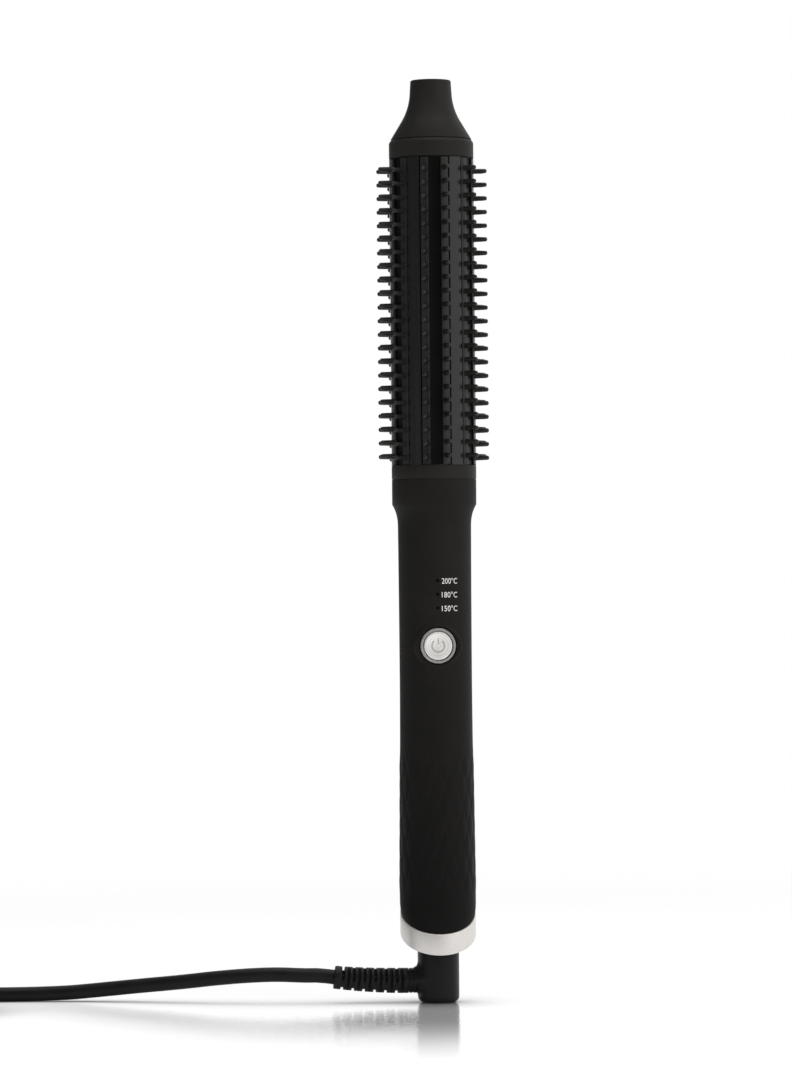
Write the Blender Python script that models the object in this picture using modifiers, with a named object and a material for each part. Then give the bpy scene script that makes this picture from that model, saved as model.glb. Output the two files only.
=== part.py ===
"""Hot brush, standing upright on its cord swivel, with its cord wound into a tied coil.

Units are metres and +Z runs up the brush. The origin is the centre of the swivel's foot,
the power button faces -Y, and the cord leaves towards -X. Every height is worked out from
the foot upwards, and every seat from the size of the piece that it carries.
"""

import math

import bmesh
import bpy
from mathutils import Matrix, Vector
from mathutils.geometry import convex_hull_2d

for old in list(bpy.data.objects):
    bpy.data.objects.remove(old, do_unlink=True)

# Clearances shared by all pieces
GAP = 0.0003
OVERRUN = 0.0020
MERGE = 0.00001
SMOOTH_ANGLE = math.radians(40)

# Facets of round pieces
HANDLE_STEPS = 32
ROUND_STEPS = 28
INNER_STEPS = 20
SMALL_STEPS = 16
PIN_STEPS = 10
HALF_SHARE = 0.5

# Barrel: an extruded tube with one channel for each comb strip
BARREL_R = 0.0161
BARREL_LENGTH = 0.1166
LIP_THICKNESS = 0.00095
FOOT_THICKNESS = 0.0008
CHANNEL_WALL = 0.0016
STRIP_COUNT = 6
STRIP_HALF_ANGLE = math.radians(19.6)
FOOT_HALF_ANGLE = math.radians(22.5)
WINDOW_HALF_ANGLE = math.radians(7.8)
WINDOW_DEPTH = 0.0009

# Comb pins, two rows on each strip
ROW_ANGLE = math.radians(13.0)
PIN_PITCH = 0.00519
PIN_MARGIN = 0.0035
PIN_STAGGER = 0.00085
LEFT_HAND_STRIPS = (1, 4, 5)
PIN_REACH = 0.0055
PIN_BASE_R = 0.00072
PIN_TIP_R = 0.0006
PIN_ROOT = 0.0008
PIN_SIDES = 3

# Cool tip and the end cap under it
TIP_HEIGHT = 0.0227
TIP_TOP_R = 0.0077
TIP_TAPER = math.radians(3.4)
TIP_CONE = math.radians(31.0)
TIP_FLARE_R = 0.0230
TIP_EDGE = 0.0009
TIP_WALL = 0.0020
STEM_R = 0.0036
CAP_HEIGHT = 0.0068
CAP_CHAMFER = 0.0006
CAP_WALL = 0.0035
CAP_SPIGOT = 0.0062
SPIGOT_WALL = 0.0020
WEB_DROP = 0.0052
WEB_THICKNESS = 0.0030

# Tip screw
SCREW_R = 0.0012
SCREW_HEAD_R = 0.0024
SCREW_HEAD_H = 0.0016
TIP_SCREW_LENGTH = 0.0130

# Base ring and barrel mount
BASE_RING_H = 0.0048
MOUNT_STEP = 0.0007
MOUNT_WALL = 0.0027
MOUNT_SPIGOT = 0.0120
MOUNT_TAIL = 0.0137

# Heater inside the barrel
HEATER_SETBACK = 0.0177
HEATER_HEADROOM = 0.0079
PACK_HALF = 0.0030
SLEEVE_WALL = 0.0004
SLEEVE_WIDTH = 0.0170
ELECTRODE_THICKNESS = 0.0005
ELECTRODE_WIDTH = 0.0130
STONE_COUNT = 2
STONE_SPACE = 0.0010
STONE_MARGIN = 0.0105
LUG_WIDTH = 0.0030
LUG_REACH = 0.0080
LUG_OFFSET = 0.0030
SENSOR_CLEARANCE = 0.0015
SENSOR_R = 0.0013
SENSOR_LENGTH = 0.0100
SENSOR_INSET = 0.0040
FUSE_R = 0.0019
FUSE_LENGTH = 0.0120
FUSE_LEAD_R = 0.0005
FUSE_LEAD = 0.0027

# Handle: two shells, a collar at the top and a waist above the grip
HANDLE_LENGTH = 0.1646
COLLAR_SETBACK = 0.00005
COLLAR_H = 0.0095
NECK_SETBACK = 0.0021
NECK_H = 0.0090
NECK_POWER = 2.6
WAIST_R = 0.01377
WAIST_DROP = 0.0789
END_R = 0.01455
GRIP_POWER = 1.4
SHELL_WALL = 0.0018
RIB_H = 0.0015
RIB_DEPTH = 0.0012

# Oblique end ring and end plate
RING_LOW_Z = 0.0261
RING_HEIGHT = 0.0079
RING_R = 0.0144
RING_WALL = 0.0010
RING_EDGE = 0.0003
RING_SLOPE = math.tan(math.radians(27.3))
PLATE_PROUD = 0.0005
PLATE_THICKNESS = 0.0024
STEP_WALL = 0.0023

# Power button and its bezel
BUTTON_DROP = 0.0631
BUTTON_R = 0.0053
BUTTON_FACE = 0.0142
BUTTON_DISH = 0.0002
BUTTON_EDGE = 0.0003
BUTTON_THICKNESS = 0.0035
BUTTON_FLANGE = 0.0010
BUTTON_CLEARANCE = 0.0004
BUTTON_TRAVEL = 0.0007
BEZEL_WALL = 0.0010
BEZEL_FACE = 0.01425
BEZEL_DEPTH = 0.0032
BEZEL_EDGE = 0.0004
PAD_FACE = 0.0139
PAD_RIM = 0.0005
PAD_FLARE = 0.0014
PAD_DEPTH = 0.0034

# Circuit board and what it carries
BOARD_FACE = 0.0050
BOARD_THICKNESS = 0.0016
BOARD_WIDTH_SHARE = 0.76
BOARD_LENGTH = 0.0540
BOARD_DROP = 0.0269
BOARD_SCREW_INSET = 0.0040
BOARD_SCREW_LENGTH = 0.0060
BOSS_WALL = 0.0011
SWITCH_SIZE = 0.0060
SWITCH_BODY = 0.0027
SWITCH_STEM_R = 0.0017
SWITCH_SPARE = 0.0010
LAMP_DROP = 0.0384
LAMP_PITCH = 0.0052
LAMP_COUNT = 3
LAMP_WIDTH = 0.0016
LAMP_LENGTH = 0.0008
LAMP_HEIGHT = 0.0008
LAMP_STRIP_WIDTH = 0.0026
LAMP_STRIP_THICKNESS = 0.0004
PIPE_THICKNESS = 0.0016
PIPE_WIDTH = 0.0030
PIPE_MARGIN = 0.0022
PIPE_PIN_R = 0.0004
PIPE_CLEARANCE = 0.00025
PIPE_SETBACK = 0.0001
CAPACITOR_SIZE = (0.0130, 0.0070, 0.0110)
CAPACITOR_DROP = 0.0340
TRIAC_SIZE = (0.0100, 0.0045, 0.0120)
TRIAC_DROP = 0.0150
CHIP_SIZE = (0.0060, 0.0015, 0.0050)
CHIP_DROP = 0.0285

# Screws that close the two shells
CLOSING_SCREW_LENGTH = 0.0160
CLOSING_SEAT = 0.0090
CLOSING_SHARES = (0.14, 0.80)
HEAD_CLEARANCE = 0.0003

# Swivel elbow
ELBOW_R = 0.0079
FOOT_EDGE = 0.0024
FOOT_FLOOR = 0.0055
SHAFT_R = 0.0052
STUB_R = 0.0030
STUB_H = 0.0060
ELBOW_BORE = 0.0022
ARM_Z = 0.0084
ARM_R = 0.00475
ARM_REACH = 0.0112
ARM_BORE = 0.0031
ARM_FLARE = 0.0016
ARM_FLARE_LENGTH = 0.0022
BUSH_R = 0.0108
BUSH_FLANGE_H = 0.0027
CLIP_THICKNESS = 0.0008
CLIP_WIDTH = 0.0030
CLIP_GROOVE = 0.0010
CLIP_OPENING = math.radians(70)
SHAFT_REACH = 0.0039

# Swivel contacts
CONTACT_WALL = 0.0011
CONTACT_HEIGHT = 0.0052
CONTACT_SHANK = 0.0043
CONTACT_HEAD = 0.0017
CONTACT_TIP_R = 0.0016
CONTACT_TIP = 0.0030
SPRING_THICKNESS = 0.0004
SPRING_WIDTH = 0.0030
SPRING_REACH = 0.0090
SPRING_OVERLAP = 0.0015
HOLDER_LIFT = 0.0023
HOLDER_THICKNESS = 0.0030

# Wires
WIRE_R = 0.0008
SENSOR_WIRE_R = 0.0004
SENSOR_WIRE_OFFSET = 0.00035
CORE_R = 0.00075
CORE_OFFSET = 0.00065

# Strain relief: ribs on the moulded cord, slotted in turn top and bottom, front and back
RELIEF_LENGTH = 0.0283
RELIEF_R = 0.0048
RELIEF_END_R = 0.0044
RELIEF_ROOT = 0.0062
RELIEF_CORE = 0.0029
RELIEF_BEND_R = 0.2500
SLOT_PITCH = 0.00205
SLOT_WIDTH = 0.0009

# Cord, its coil and its plug
CORD_D = 0.0056
TURN_SPACE = 0.00055
COIL_INNER_R = 0.0268
LAYER_TURNS = 2
COIL_LAYERS = 4
COIL_TURNS = 7.5
COIL_CENTRE = (-0.2125, -0.0111)
COIL_START = math.radians(90)
LOOP_POINTS = 24
CLIMB_TURNS = 0.5
CORD_STEP = 0.0130
TIE_ANGLES = (math.radians(20), math.radians(200))
TIE_WIDTH = 0.0080
TIE_THICKNESS = 0.0006
TIE_FACETS = 12
PLUG_WIDTH = 0.0353
PLUG_THICKNESS = 0.0137
PLUG_LENGTH = 0.0360
PLUG_NOSE = 0.0140
PLUG_NOSE_R = 0.0050
PLUG_NOSE_END_R = 0.0041
PLUG_EDGE = 0.0025
PLUG_NECK_SHARE = 0.28
PLUG_CHEST_SHARE = 0.66
PLUG_NECK_WIDTH_SHARE = 0.55
PLUG_FRONT_WIDTH_SHARE = 0.93
PLUG_PIN_R = 0.0020
PLUG_PIN_LENGTH = 0.0190
PLUG_PIN_SPREAD = 0.0093
PLUG_PIN_SEAT = 0.0040
PLUG_PIN_EDGE = 0.0006

# The cord's free route, chosen by eye: from the strain relief down to the floor and the coil
CORD_ROUTE = [
    (-0.0514, 0.0002, 0.0108),
    (-0.0615, 0.0011, 0.0112),
    (-0.0723, 0.0030, 0.0108),
    (-0.0845, 0.0064, 0.0097),
    (-0.0971, 0.0110, 0.0081),
    (-0.1142, 0.0174, 0.0062),
    (-0.1276, 0.0216, 0.0047),
    (-0.1398, 0.0246, 0.0035),
    (-0.1510, 0.0264, 0.0030),
    (-0.1622, 0.0275, 0.0028),
    (-0.1760, 0.0281, 0.0029),
    (-0.1900, 0.0282, 0.0032),
]
# The cord's tail, from the top of the coil over to the plug, around the coil's own centre
TAIL_ROUTE = [
    (0.0175, -0.0348, 0.0224),
    (0.0235, -0.0310, 0.0229),
    (0.0295, -0.0245, 0.0237),
    (0.0335, -0.0160, 0.0250),
    (0.0348, -0.0070, 0.0270),
    (0.0332, 0.0020, 0.0290),
    (0.0286, 0.0093, 0.0306),
    (0.0222, 0.0136, 0.0316),
]
PLUG_OFFSET = (0.0115, 0.0150)

# Heights worked out from the foot
RING_HIGH_Z = RING_LOW_Z + RING_HEIGHT
SHELL_LOW_Z = RING_HIGH_Z + GAP
HANDLE_TOP = SHELL_LOW_Z + HANDLE_LENGTH
COLLAR_LOW = HANDLE_TOP - COLLAR_H
NECK_LOW = COLLAR_LOW - NECK_H
WAIST_Z = HANDLE_TOP - WAIST_DROP
BASE_RING_LOW = HANDLE_TOP + GAP
BASE_RING_TOP = BASE_RING_LOW + BASE_RING_H
BARREL_LOW = BASE_RING_TOP + GAP
BARREL_TOP = BARREL_LOW + BARREL_LENGTH
CAP_LOW = BARREL_TOP + GAP
CAP_TOP = CAP_LOW + CAP_HEIGHT
TIP_LOW = CAP_TOP + GAP
TIP_TOP = TIP_LOW + TIP_HEIGHT

# Radii worked out from what each piece carries
LIP_LOW_R = BARREL_R - LIP_THICKNESS
STRIP_FOOT_TOP_R = LIP_LOW_R - GAP
STRIP_FOOT_LOW_R = STRIP_FOOT_TOP_R - FOOT_THICKNESS
CHANNEL_FLOOR_R = STRIP_FOOT_LOW_R - GAP
BARREL_BORE = CHANNEL_FLOOR_R - CHANNEL_WALL
MOUNT_SEAT_R = BARREL_BORE + MOUNT_STEP
MOUNT_BORE = BARREL_BORE - GAP - MOUNT_WALL
SENSOR_OFFSET = MOUNT_BORE - SENSOR_CLEARANCE
LEAD_SPREAD = SCREW_HEAD_R + WIRE_R + 2 * GAP
COLLAR_R = BARREL_R - COLLAR_SETBACK
NECK_R = COLLAR_R - NECK_SETBACK
NECK_BORE = NECK_R - SHELL_WALL
COLLAR_BORE = COLLAR_R - SHELL_WALL
HANDLE_WIDEST_R = max(COLLAR_R, END_R)
HANDLE_NARROW_BORE = min(WAIST_R, NECK_R) - SHELL_WALL
BOARD_HALF_WIDTH = HANDLE_NARROW_BORE * BOARD_WIDTH_SHARE
RING_BORE = RING_R - RING_WALL
SPIGOT_R = RING_BORE - GAP
SPIGOT_BORE = SPIGOT_R - SHELL_WALL
PLATE_TOP_Z = RING_LOW_Z - PLATE_PROUD + PLATE_THICKNESS
BUSH_BORE = SHAFT_R + GAP
BUSH_FLANGE_R = SPIGOT_BORE + RIB_DEPTH
STEP_Z = SHELL_LOW_Z + RING_SLOPE * END_R + STEP_WALL
BUSH_LOW = PLATE_TOP_Z + RING_SLOPE * BUSH_R + GAP
BUSH_TOP = STEP_Z + GAP + BUSH_FLANGE_H
SHOULDER_Z = BUSH_LOW - GAP
CLIP_LOW = BUSH_TOP + GAP
CLIP_HIGH = CLIP_LOW + CLIP_THICKNESS
GROOVE_R = SHAFT_R - CLIP_GROOVE
SHAFT_TOP = CLIP_HIGH + SHAFT_REACH
STUB_TOP = SHAFT_TOP + STUB_H
CONTACT_R = STUB_R + GAP + CONTACT_WALL
PIN_CONTACT_TOP = STUB_TOP + GAP + CONTACT_HEAD + CONTACT_TIP
SPRING_LOW = PIN_CONTACT_TOP + GAP
HOLDER_LOW = SPRING_LOW + SPRING_THICKNESS + HOLDER_LIFT
HOLDER_TOP = HOLDER_LOW + HOLDER_THICKNESS
SPRING_TOP = HOLDER_LOW + SPRING_REACH
SPRING_X = CONTACT_R + GAP
BOARD_TOP = HANDLE_TOP - BOARD_DROP
BOARD_LOW = BOARD_TOP - BOARD_LENGTH
BOARD_BACK = BOARD_FACE - BOARD_THICKNESS
BUTTON_Z = HANDLE_TOP - BUTTON_DROP
LAMP_Z = [HANDLE_TOP - LAMP_DROP - LAMP_PITCH * k for k in range(LAMP_COUNT)]
POST_Z = BOARD_LOW + BOARD_SCREW_INSET
BOARD_SCREW_Z = BOARD_TOP - BOARD_SCREW_INSET
CLOSING_Z = [SPRING_TOP + (BOARD_LOW - SPRING_TOP) * share for share in CLOSING_SHARES]
BEZEL_BORE = BUTTON_R + BUTTON_CLEARANCE
BEZEL_R = BEZEL_BORE + BEZEL_WALL
BUTTON_HOLE_R = BEZEL_R + GAP
BUTTON_BACK = BUTTON_FACE - BUTTON_THICKNESS - BUTTON_FLANGE
SWITCH_BACK = BOARD_FACE + GAP
SWITCH_FRONT = SWITCH_BACK + SWITCH_BODY
HEATER_LOW = BARREL_LOW + HEATER_SETBACK
HEATER_TOP = BARREL_TOP - HEATER_HEADROOM
STONE_STACK = HEATER_TOP - HEATER_LOW - 2 * STONE_MARGIN
STONE_LENGTH = (STONE_STACK - (STONE_COUNT - 1) * STONE_SPACE) / STONE_COUNT
SLEEVE_HALF = PACK_HALF - GAP
ELECTRODE_OUT = SLEEVE_HALF - SLEEVE_WALL - GAP
ELECTRODE_IN = ELECTRODE_OUT - ELECTRODE_THICKNESS
STONE_HALF = ELECTRODE_IN - GAP
LUG_LOW = HEATER_LOW - LUG_REACH
CORD_R = CORD_D / 2
TURN_PITCH = CORD_D + TURN_SPACE
COIL_OUTER_R = COIL_INNER_R + LAYER_TURNS * TURN_PITCH
COIL_Z = CORD_R + GAP + TIE_THICKNESS
COIL_TOP = COIL_Z + (COIL_LAYERS - 1) * TURN_PITCH + CORD_R
PLUG_Z = COIL_TOP + GAP + PLUG_THICKNESS / 2

parts = bpy.data.collections.new("hot_brush")
cutters = bpy.data.collections.new("cutters")
bpy.context.scene.collection.children.link(parts)
bpy.context.scene.collection.children.link(cutters)


def material(name, colour, roughness, metallic=0.0):
    """A Principled material for one finish."""
    made = bpy.data.materials.new(name)
    made.use_nodes = True
    shader = made.node_tree.nodes["Principled BSDF"]
    shader.inputs["Base Color"].default_value = (*colour, 1.0)
    shader.inputs["Roughness"].default_value = roughness
    shader.inputs["Metallic"].default_value = metallic
    return made


SOFT_BLACK = ((0.012, 0.012, 0.012), 0.55)
DARK_METAL = ((0.030, 0.030, 0.031), 0.28, 0.8)
SATIN_METAL = ((0.62, 0.62, 0.63), 0.32, 1.0)
BRASS = ((0.60, 0.42, 0.16), 0.30, 1.0)
STEEL = ((0.45, 0.45, 0.46), 0.35, 1.0)
FINISHES = {
    "cool_tip": ((0.018, 0.017, 0.016), 0.45),
    "end_cap": ((0.022, 0.021, 0.020), 0.40),
    "tip_screw": STEEL,
    "barrel_tube": DARK_METAL,
    "comb_strip": ((0.016, 0.016, 0.016), 0.42),
    "base_ring": DARK_METAL,
    "barrel_mount": ((0.50, 0.47, 0.40), 0.6),
    "heat_spreader": ((0.66, 0.66, 0.67), 0.4, 1.0),
    "insulating_sleeve": ((0.42, 0.20, 0.03), 0.3),
    "electrode": ((0.60, 0.60, 0.61), 0.3, 1.0),
    "ceramic_stone": ((0.10, 0.09, 0.08), 0.8),
    "thermistor": ((0.50, 0.10, 0.04), 0.3),
    "thermal_fuse": ((0.55, 0.55, 0.56), 0.3, 1.0),
    "heater_lead": ((0.55, 0.55, 0.53), 0.6),
    "sensor_lead": ((0.60, 0.58, 0.20), 0.6),
    "handle_front_shell": SOFT_BLACK,
    "handle_rear_shell": SOFT_BLACK,
    "end_ring": SATIN_METAL,
    "end_plate": ((0.014, 0.014, 0.014), 0.5),
    "button_bezel": ((0.28, 0.28, 0.28), 0.3, 1.0),
    "power_button": ((0.78, 0.78, 0.78), 0.28, 1.0),
    "push_switch": ((0.05, 0.05, 0.05), 0.5),
    "light_pipe": ((0.70, 0.70, 0.68), 0.1),
    "lamp_strip": ((0.80, 0.75, 0.45), 0.3),
    "circuit_board": ((0.02, 0.16, 0.05), 0.5),
    "capacitor": ((0.55, 0.42, 0.03), 0.4),
    "triac": ((0.02, 0.02, 0.02), 0.5),
    "controller_chip": ((0.02, 0.02, 0.02), 0.4),
    "board_screw": STEEL,
    "closing_screw": STEEL,
    "swivel_bush": ((0.60, 0.60, 0.58), 0.5),
    "swivel_elbow": ((0.016, 0.016, 0.016), 0.45),
    "retaining_clip": STEEL,
    "contact_pin": BRASS,
    "contact_sleeve": BRASS,
    "contact_spring": ((0.62, 0.36, 0.18), 0.3, 1.0),
    "contact_holder": ((0.05, 0.05, 0.05), 0.5),
    "supply_lead": ((0.08, 0.10, 0.40), 0.5),
    "elbow_cores": ((0.25, 0.10, 0.04), 0.5),
    "strain_relief": ((0.014, 0.014, 0.014), 0.5),
    "cord": ((0.014, 0.014, 0.014), 0.45),
    "coil_tie": ((0.02, 0.02, 0.02), 0.8),
    "plug_body": ((0.014, 0.014, 0.014), 0.45),
    "plug_pin": STEEL,
}
made_materials = {name: material(name, *look) for name, look in FINISHES.items()}


def finish(obj, finish_name, parent=None):
    """Puts a part in its collection, with its material, smooth shading and parent."""
    for holder in list(obj.users_collection):
        holder.objects.unlink(obj)
    parts.objects.link(obj)
    obj.data.materials.clear()
    obj.data.materials.append(made_materials[finish_name])
    obj.data.shade_smooth()
    obj.data.set_sharp_from_angle(angle=SMOOTH_ANGLE)
    if parent is not None:
        obj.parent = parent
        obj.matrix_parent_inverse = parent.matrix_world.inverted()
    return obj


def helper(obj):
    """Marks an object as a cutter or a piece that a Boolean uses up."""
    for holder in list(obj.users_collection):
        holder.objects.unlink(obj)
    cutters.objects.link(obj)
    obj.hide_render = True
    obj.display_type = "WIRE"
    return obj


def from_bmesh(name, bm):
    """A new object in the scene from a bmesh, which is freed."""
    mesh = bpy.data.meshes.new(name)
    bm.to_mesh(mesh)
    bm.free()
    obj = bpy.data.objects.new(name, mesh)
    bpy.context.scene.collection.objects.link(obj)
    return obj


def add_box(bm, low, high):
    """Adds a box between two corners."""
    low = Vector(low)
    high = Vector(high)
    size = high - low
    place = Matrix.Translation((low + high) / 2) @ Matrix.Diagonal((*size, 1.0))
    bmesh.ops.create_cube(bm, size=1.0, matrix=place)


def add_rod(bm, start, end, radius, sides, end_radius=None, twist_share=0):
    """Adds a cylinder or cone between two points, twisted by a share of one facet."""
    start = Vector(start)
    end = Vector(end)
    way = end - start
    turn = Vector((0, 0, 1)).rotation_difference(way).to_matrix().to_4x4()
    twist = Matrix.Rotation(twist_share * math.tau / sides, 4, "Z")
    bmesh.ops.create_cone(
        bm,
        cap_ends=True,
        segments=sides,
        radius1=radius,
        radius2=radius if end_radius is None else end_radius,
        depth=way.length,
        matrix=Matrix.Translation((start + end) / 2) @ turn @ twist,
    )


def boxes(name, corners):
    """One object of boxes, each given by its two corners."""
    bm = bmesh.new()
    for low, high in corners:
        add_box(bm, low, high)
    return from_bmesh(name, bm)


def rods(name, rows, sides):
    """One object of rods, each given by its start, end and radius."""
    bm = bmesh.new()
    for start, end, radius in rows:
        add_rod(bm, start, end, radius, sides)
    return from_bmesh(name, bm)


def rounded(corners, steps=4):
    """Points along an outline of (x, y, corner radius), with an arc at each rounded corner."""
    points = []
    for k, (x, y, radius) in enumerate(corners):
        here = Vector((x, y))
        if radius == 0:
            points.append((x, y))
            continue
        to_last = (Vector(corners[k - 1][:2]) - here).normalized()
        to_next = (Vector(corners[(k + 1) % len(corners)][:2]) - here).normalized()
        half = to_last.angle(to_next) / 2
        centre = here + (to_last + to_next).normalized() * (radius / math.sin(half))
        first = here + to_last * (radius / math.tan(half)) - centre
        last = here + to_next * (radius / math.tan(half)) - centre
        sweep = first.angle_signed(last)
        for step in range(steps + 1):
            share = step / steps
            point = centre + Matrix.Rotation(-sweep * share, 2) @ first
            points.append((point.x, point.y))
    return points


def turned(name, profile, steps=ROUND_STEPS, closed=False):
    """A turned solid from (radius, height) points that run down its outer side."""
    mesh = bpy.data.meshes.new(name)
    edges = [(k, k + 1) for k in range(len(profile) - 1)]
    if closed:
        edges.append((len(profile) - 1, 0))
    mesh.from_pydata([(r, 0, h) for r, h in profile], edges, [])
    obj = bpy.data.objects.new(name, mesh)
    bpy.context.scene.collection.objects.link(obj)
    screw = obj.modifiers.new("turn", "SCREW")
    screw.axis = "Z"
    screw.angle = math.tau
    screw.steps = steps
    screw.render_steps = steps
    screw.use_merge_vertices = True
    screw.merge_threshold = MERGE
    screw.use_smooth_shade = True
    return obj


def baked(obj, matrix=None):
    """The same object with its modifiers applied, and its mesh moved by a matrix."""
    bpy.context.view_layer.update()
    graph = bpy.context.evaluated_depsgraph_get()
    mesh = bpy.data.meshes.new_from_object(obj.evaluated_get(graph))
    bm = bmesh.new()
    bm.from_mesh(mesh)
    bmesh.ops.remove_doubles(bm, verts=bm.verts, dist=MERGE)
    bm.to_mesh(mesh)
    bm.free()
    if matrix is not None:
        mesh.transform(matrix)
    made = bpy.data.objects.new(obj.name, mesh)
    made.matrix_world = obj.matrix_world
    bpy.context.scene.collection.objects.link(made)
    name = obj.name
    bpy.data.objects.remove(obj, do_unlink=True)
    made.name = name
    return made


def curve_mesh(name, curve):
    """The closed mesh of a curve, with its caps welded on."""
    obj = bpy.data.objects.new(name, curve)
    bpy.context.scene.collection.objects.link(obj)
    made = baked(obj)
    bm = bmesh.new()
    bm.from_mesh(made.data)
    bmesh.ops.recalc_face_normals(bm, faces=bm.faces)
    bm.to_mesh(made.data)
    bm.free()
    return made


def extruded(name, loops, low, high):
    """A flat outline, with any holes as further loops, extruded from one height to another."""
    curve = bpy.data.curves.new(name, "CURVE")
    curve.dimensions = "2D"
    curve.fill_mode = "BOTH"
    curve.extrude = (high - low) / 2
    for loop in loops:
        spline = curve.splines.new("POLY")
        spline.points.add(len(loop) - 1)
        for point, (x, y) in zip(spline.points, loop):
            point.co = (x, y, 0, 1)
        spline.use_cyclic_u = True
    made = curve_mesh(name, curve)
    made.data.transform(Matrix.Translation((0, 0, (low + high) / 2)))
    return made


def tube(name, route, radius, resolution=2):
    """A round tube along a list of points."""
    curve = bpy.data.curves.new(name, "CURVE")
    curve.dimensions = "3D"
    curve.bevel_depth = radius
    curve.bevel_resolution = resolution
    curve.use_fill_caps = True
    spline = curve.splines.new("POLY")
    spline.points.add(len(route) - 1)
    for point, place in zip(spline.points, route):
        point.co = (*place, 1)
    return curve_mesh(name, curve)


def twin_wire(name, route, offset, radius):
    """Two cores side by side, joined along their whole length."""
    offset = Vector(offset)
    first = tube(name, [Vector(point) - offset for point in route], radius, 1)
    second = tube(f"{name}_other", [Vector(point) + offset for point in route], radius, 1)
    return join(first, second)


def screw(name, seat, length):
    """A screw up the Z axis: its head under the seat, its shank above it."""
    end = seat + length
    profile = [
        (0, end),
        (SCREW_R, end),
        (SCREW_R, seat),
        (SCREW_HEAD_R, seat),
        (SCREW_HEAD_R, seat - SCREW_HEAD_H),
        (0, seat - SCREW_HEAD_H),
    ]
    return turned(name, profile, PIN_STEPS)


def boolean(obj, other, operation):
    """Cuts another object from this one or joins it to this one."""
    modifier = obj.modifiers.new(other.name, "BOOLEAN")
    modifier.operation = operation
    modifier.object = helper(other)
    return obj


def cut(obj, other):
    return boolean(obj, other, "DIFFERENCE")


def join(obj, other):
    return boolean(obj, other, "UNION")


def polar(radius, angle):
    """A point at an angle from the front (-Y), turning towards +X."""
    return (radius * math.sin(angle), -radius * math.cos(angle))


def arc(radius, start, end, steps):
    """Points on an arc about the axis, ends included."""
    return [polar(radius, start + (end - start) * k / steps) for k in range(steps + 1)]


def smooth_route(points, step):
    """A route at even steps along a smooth curve through the points, straight at either end."""
    fine = []
    for a, b, c, d in zip(points, points[1:], points[2:], points[3:]):
        for k in range(24):
            t = k / 24
            linear = (c - a) * t
            square = (2 * a - 5 * b + 4 * c - d) * t**2
            cubic = (3 * b - a - 3 * c + d) * t**3
            fine.append((2 * b + linear + square + cubic) / 2)
    fine.append(points[-2])
    lengths = [0.0]
    for here, there in zip(fine, fine[1:]):
        lengths.append(lengths[-1] + (there - here).length)
    count = round(lengths[-1] / step)
    route = [points[0]]
    place = 0
    for k in range(count + 1):
        target = lengths[-1] * k / count
        while place < len(fine) - 2 and lengths[place + 1] < target:
            place += 1
        share = (target - lengths[place]) / (lengths[place + 1] - lengths[place])
        route.append(fine[place].lerp(fine[place + 1], share))
    route.append(points[-1])
    return route


def route_length(points):
    return sum((there - here).length for here, there in zip(points, points[1:]))


def along_front(obj, height):
    """Turns a solid of revolution to face the front, its axis at a height on the brush."""
    obj.rotation_euler.x = math.radians(90)
    obj.location = (0, 0, height)
    return obj


def handle_radius(z):
    """Outer radius of the handle: the collar, the neck's sweep, the waist and the flared grip."""
    if z >= COLLAR_LOW:
        return COLLAR_R
    if z >= NECK_LOW:
        share = (z - NECK_LOW) / NECK_H
        return NECK_R + (COLLAR_R - NECK_R) * share**NECK_POWER
    if z >= WAIST_Z:
        share = (z - WAIST_Z) / (NECK_LOW - WAIST_Z)
        return WAIST_R + (NECK_R - WAIST_R) * share**2
    share = (WAIST_Z - z) / (WAIST_Z - SHELL_LOW_Z)
    return WAIST_R + (END_R - WAIST_R) * share**GRIP_POWER


def wall_middle(z):
    """Radius of the middle of the handle's wall."""
    return handle_radius(z) - SHELL_WALL / 2


def between(low, high, count):
    """Heights from high down to low, ends included."""
    return [high + (low - high) * k / count for k in range(count + 1)]


# Moving axes
swivel_axis = bpy.data.objects.new("swivel_axis", None)
button_axis = bpy.data.objects.new("button_axis", None)
button_axis.location = (0, 0, BUTTON_Z)
for axis in (swivel_axis, button_axis):
    parts.objects.link(axis)
bpy.context.view_layer.update()


def barrel_tube():
    """The extrusion: six plates, six channels undercut for the strips' feet, and a plain bore."""
    slot_half = STRIP_HALF_ANGLE + GAP / BARREL_R
    undercut_half = FOOT_HALF_ANGLE + GAP / STRIP_FOOT_TOP_R
    pitch = math.tau / STRIP_COUNT
    outer = []
    for k in range(STRIP_COUNT):
        middle = k * pitch
        outer += arc(LIP_LOW_R, middle - slot_half, middle - undercut_half, 1)
        outer += arc(CHANNEL_FLOOR_R, middle - undercut_half, middle + undercut_half, 3)
        outer += arc(LIP_LOW_R, middle + undercut_half, middle + slot_half, 1)
        outer += arc(BARREL_R, middle + slot_half, middle + pitch - slot_half, 3)
    bore = arc(BARREL_BORE, 0, math.tau, ROUND_STEPS)[:-1]
    return finish(extruded("barrel_tube", [outer, bore], BARREL_LOW, BARREL_TOP), "barrel_tube")


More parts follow.
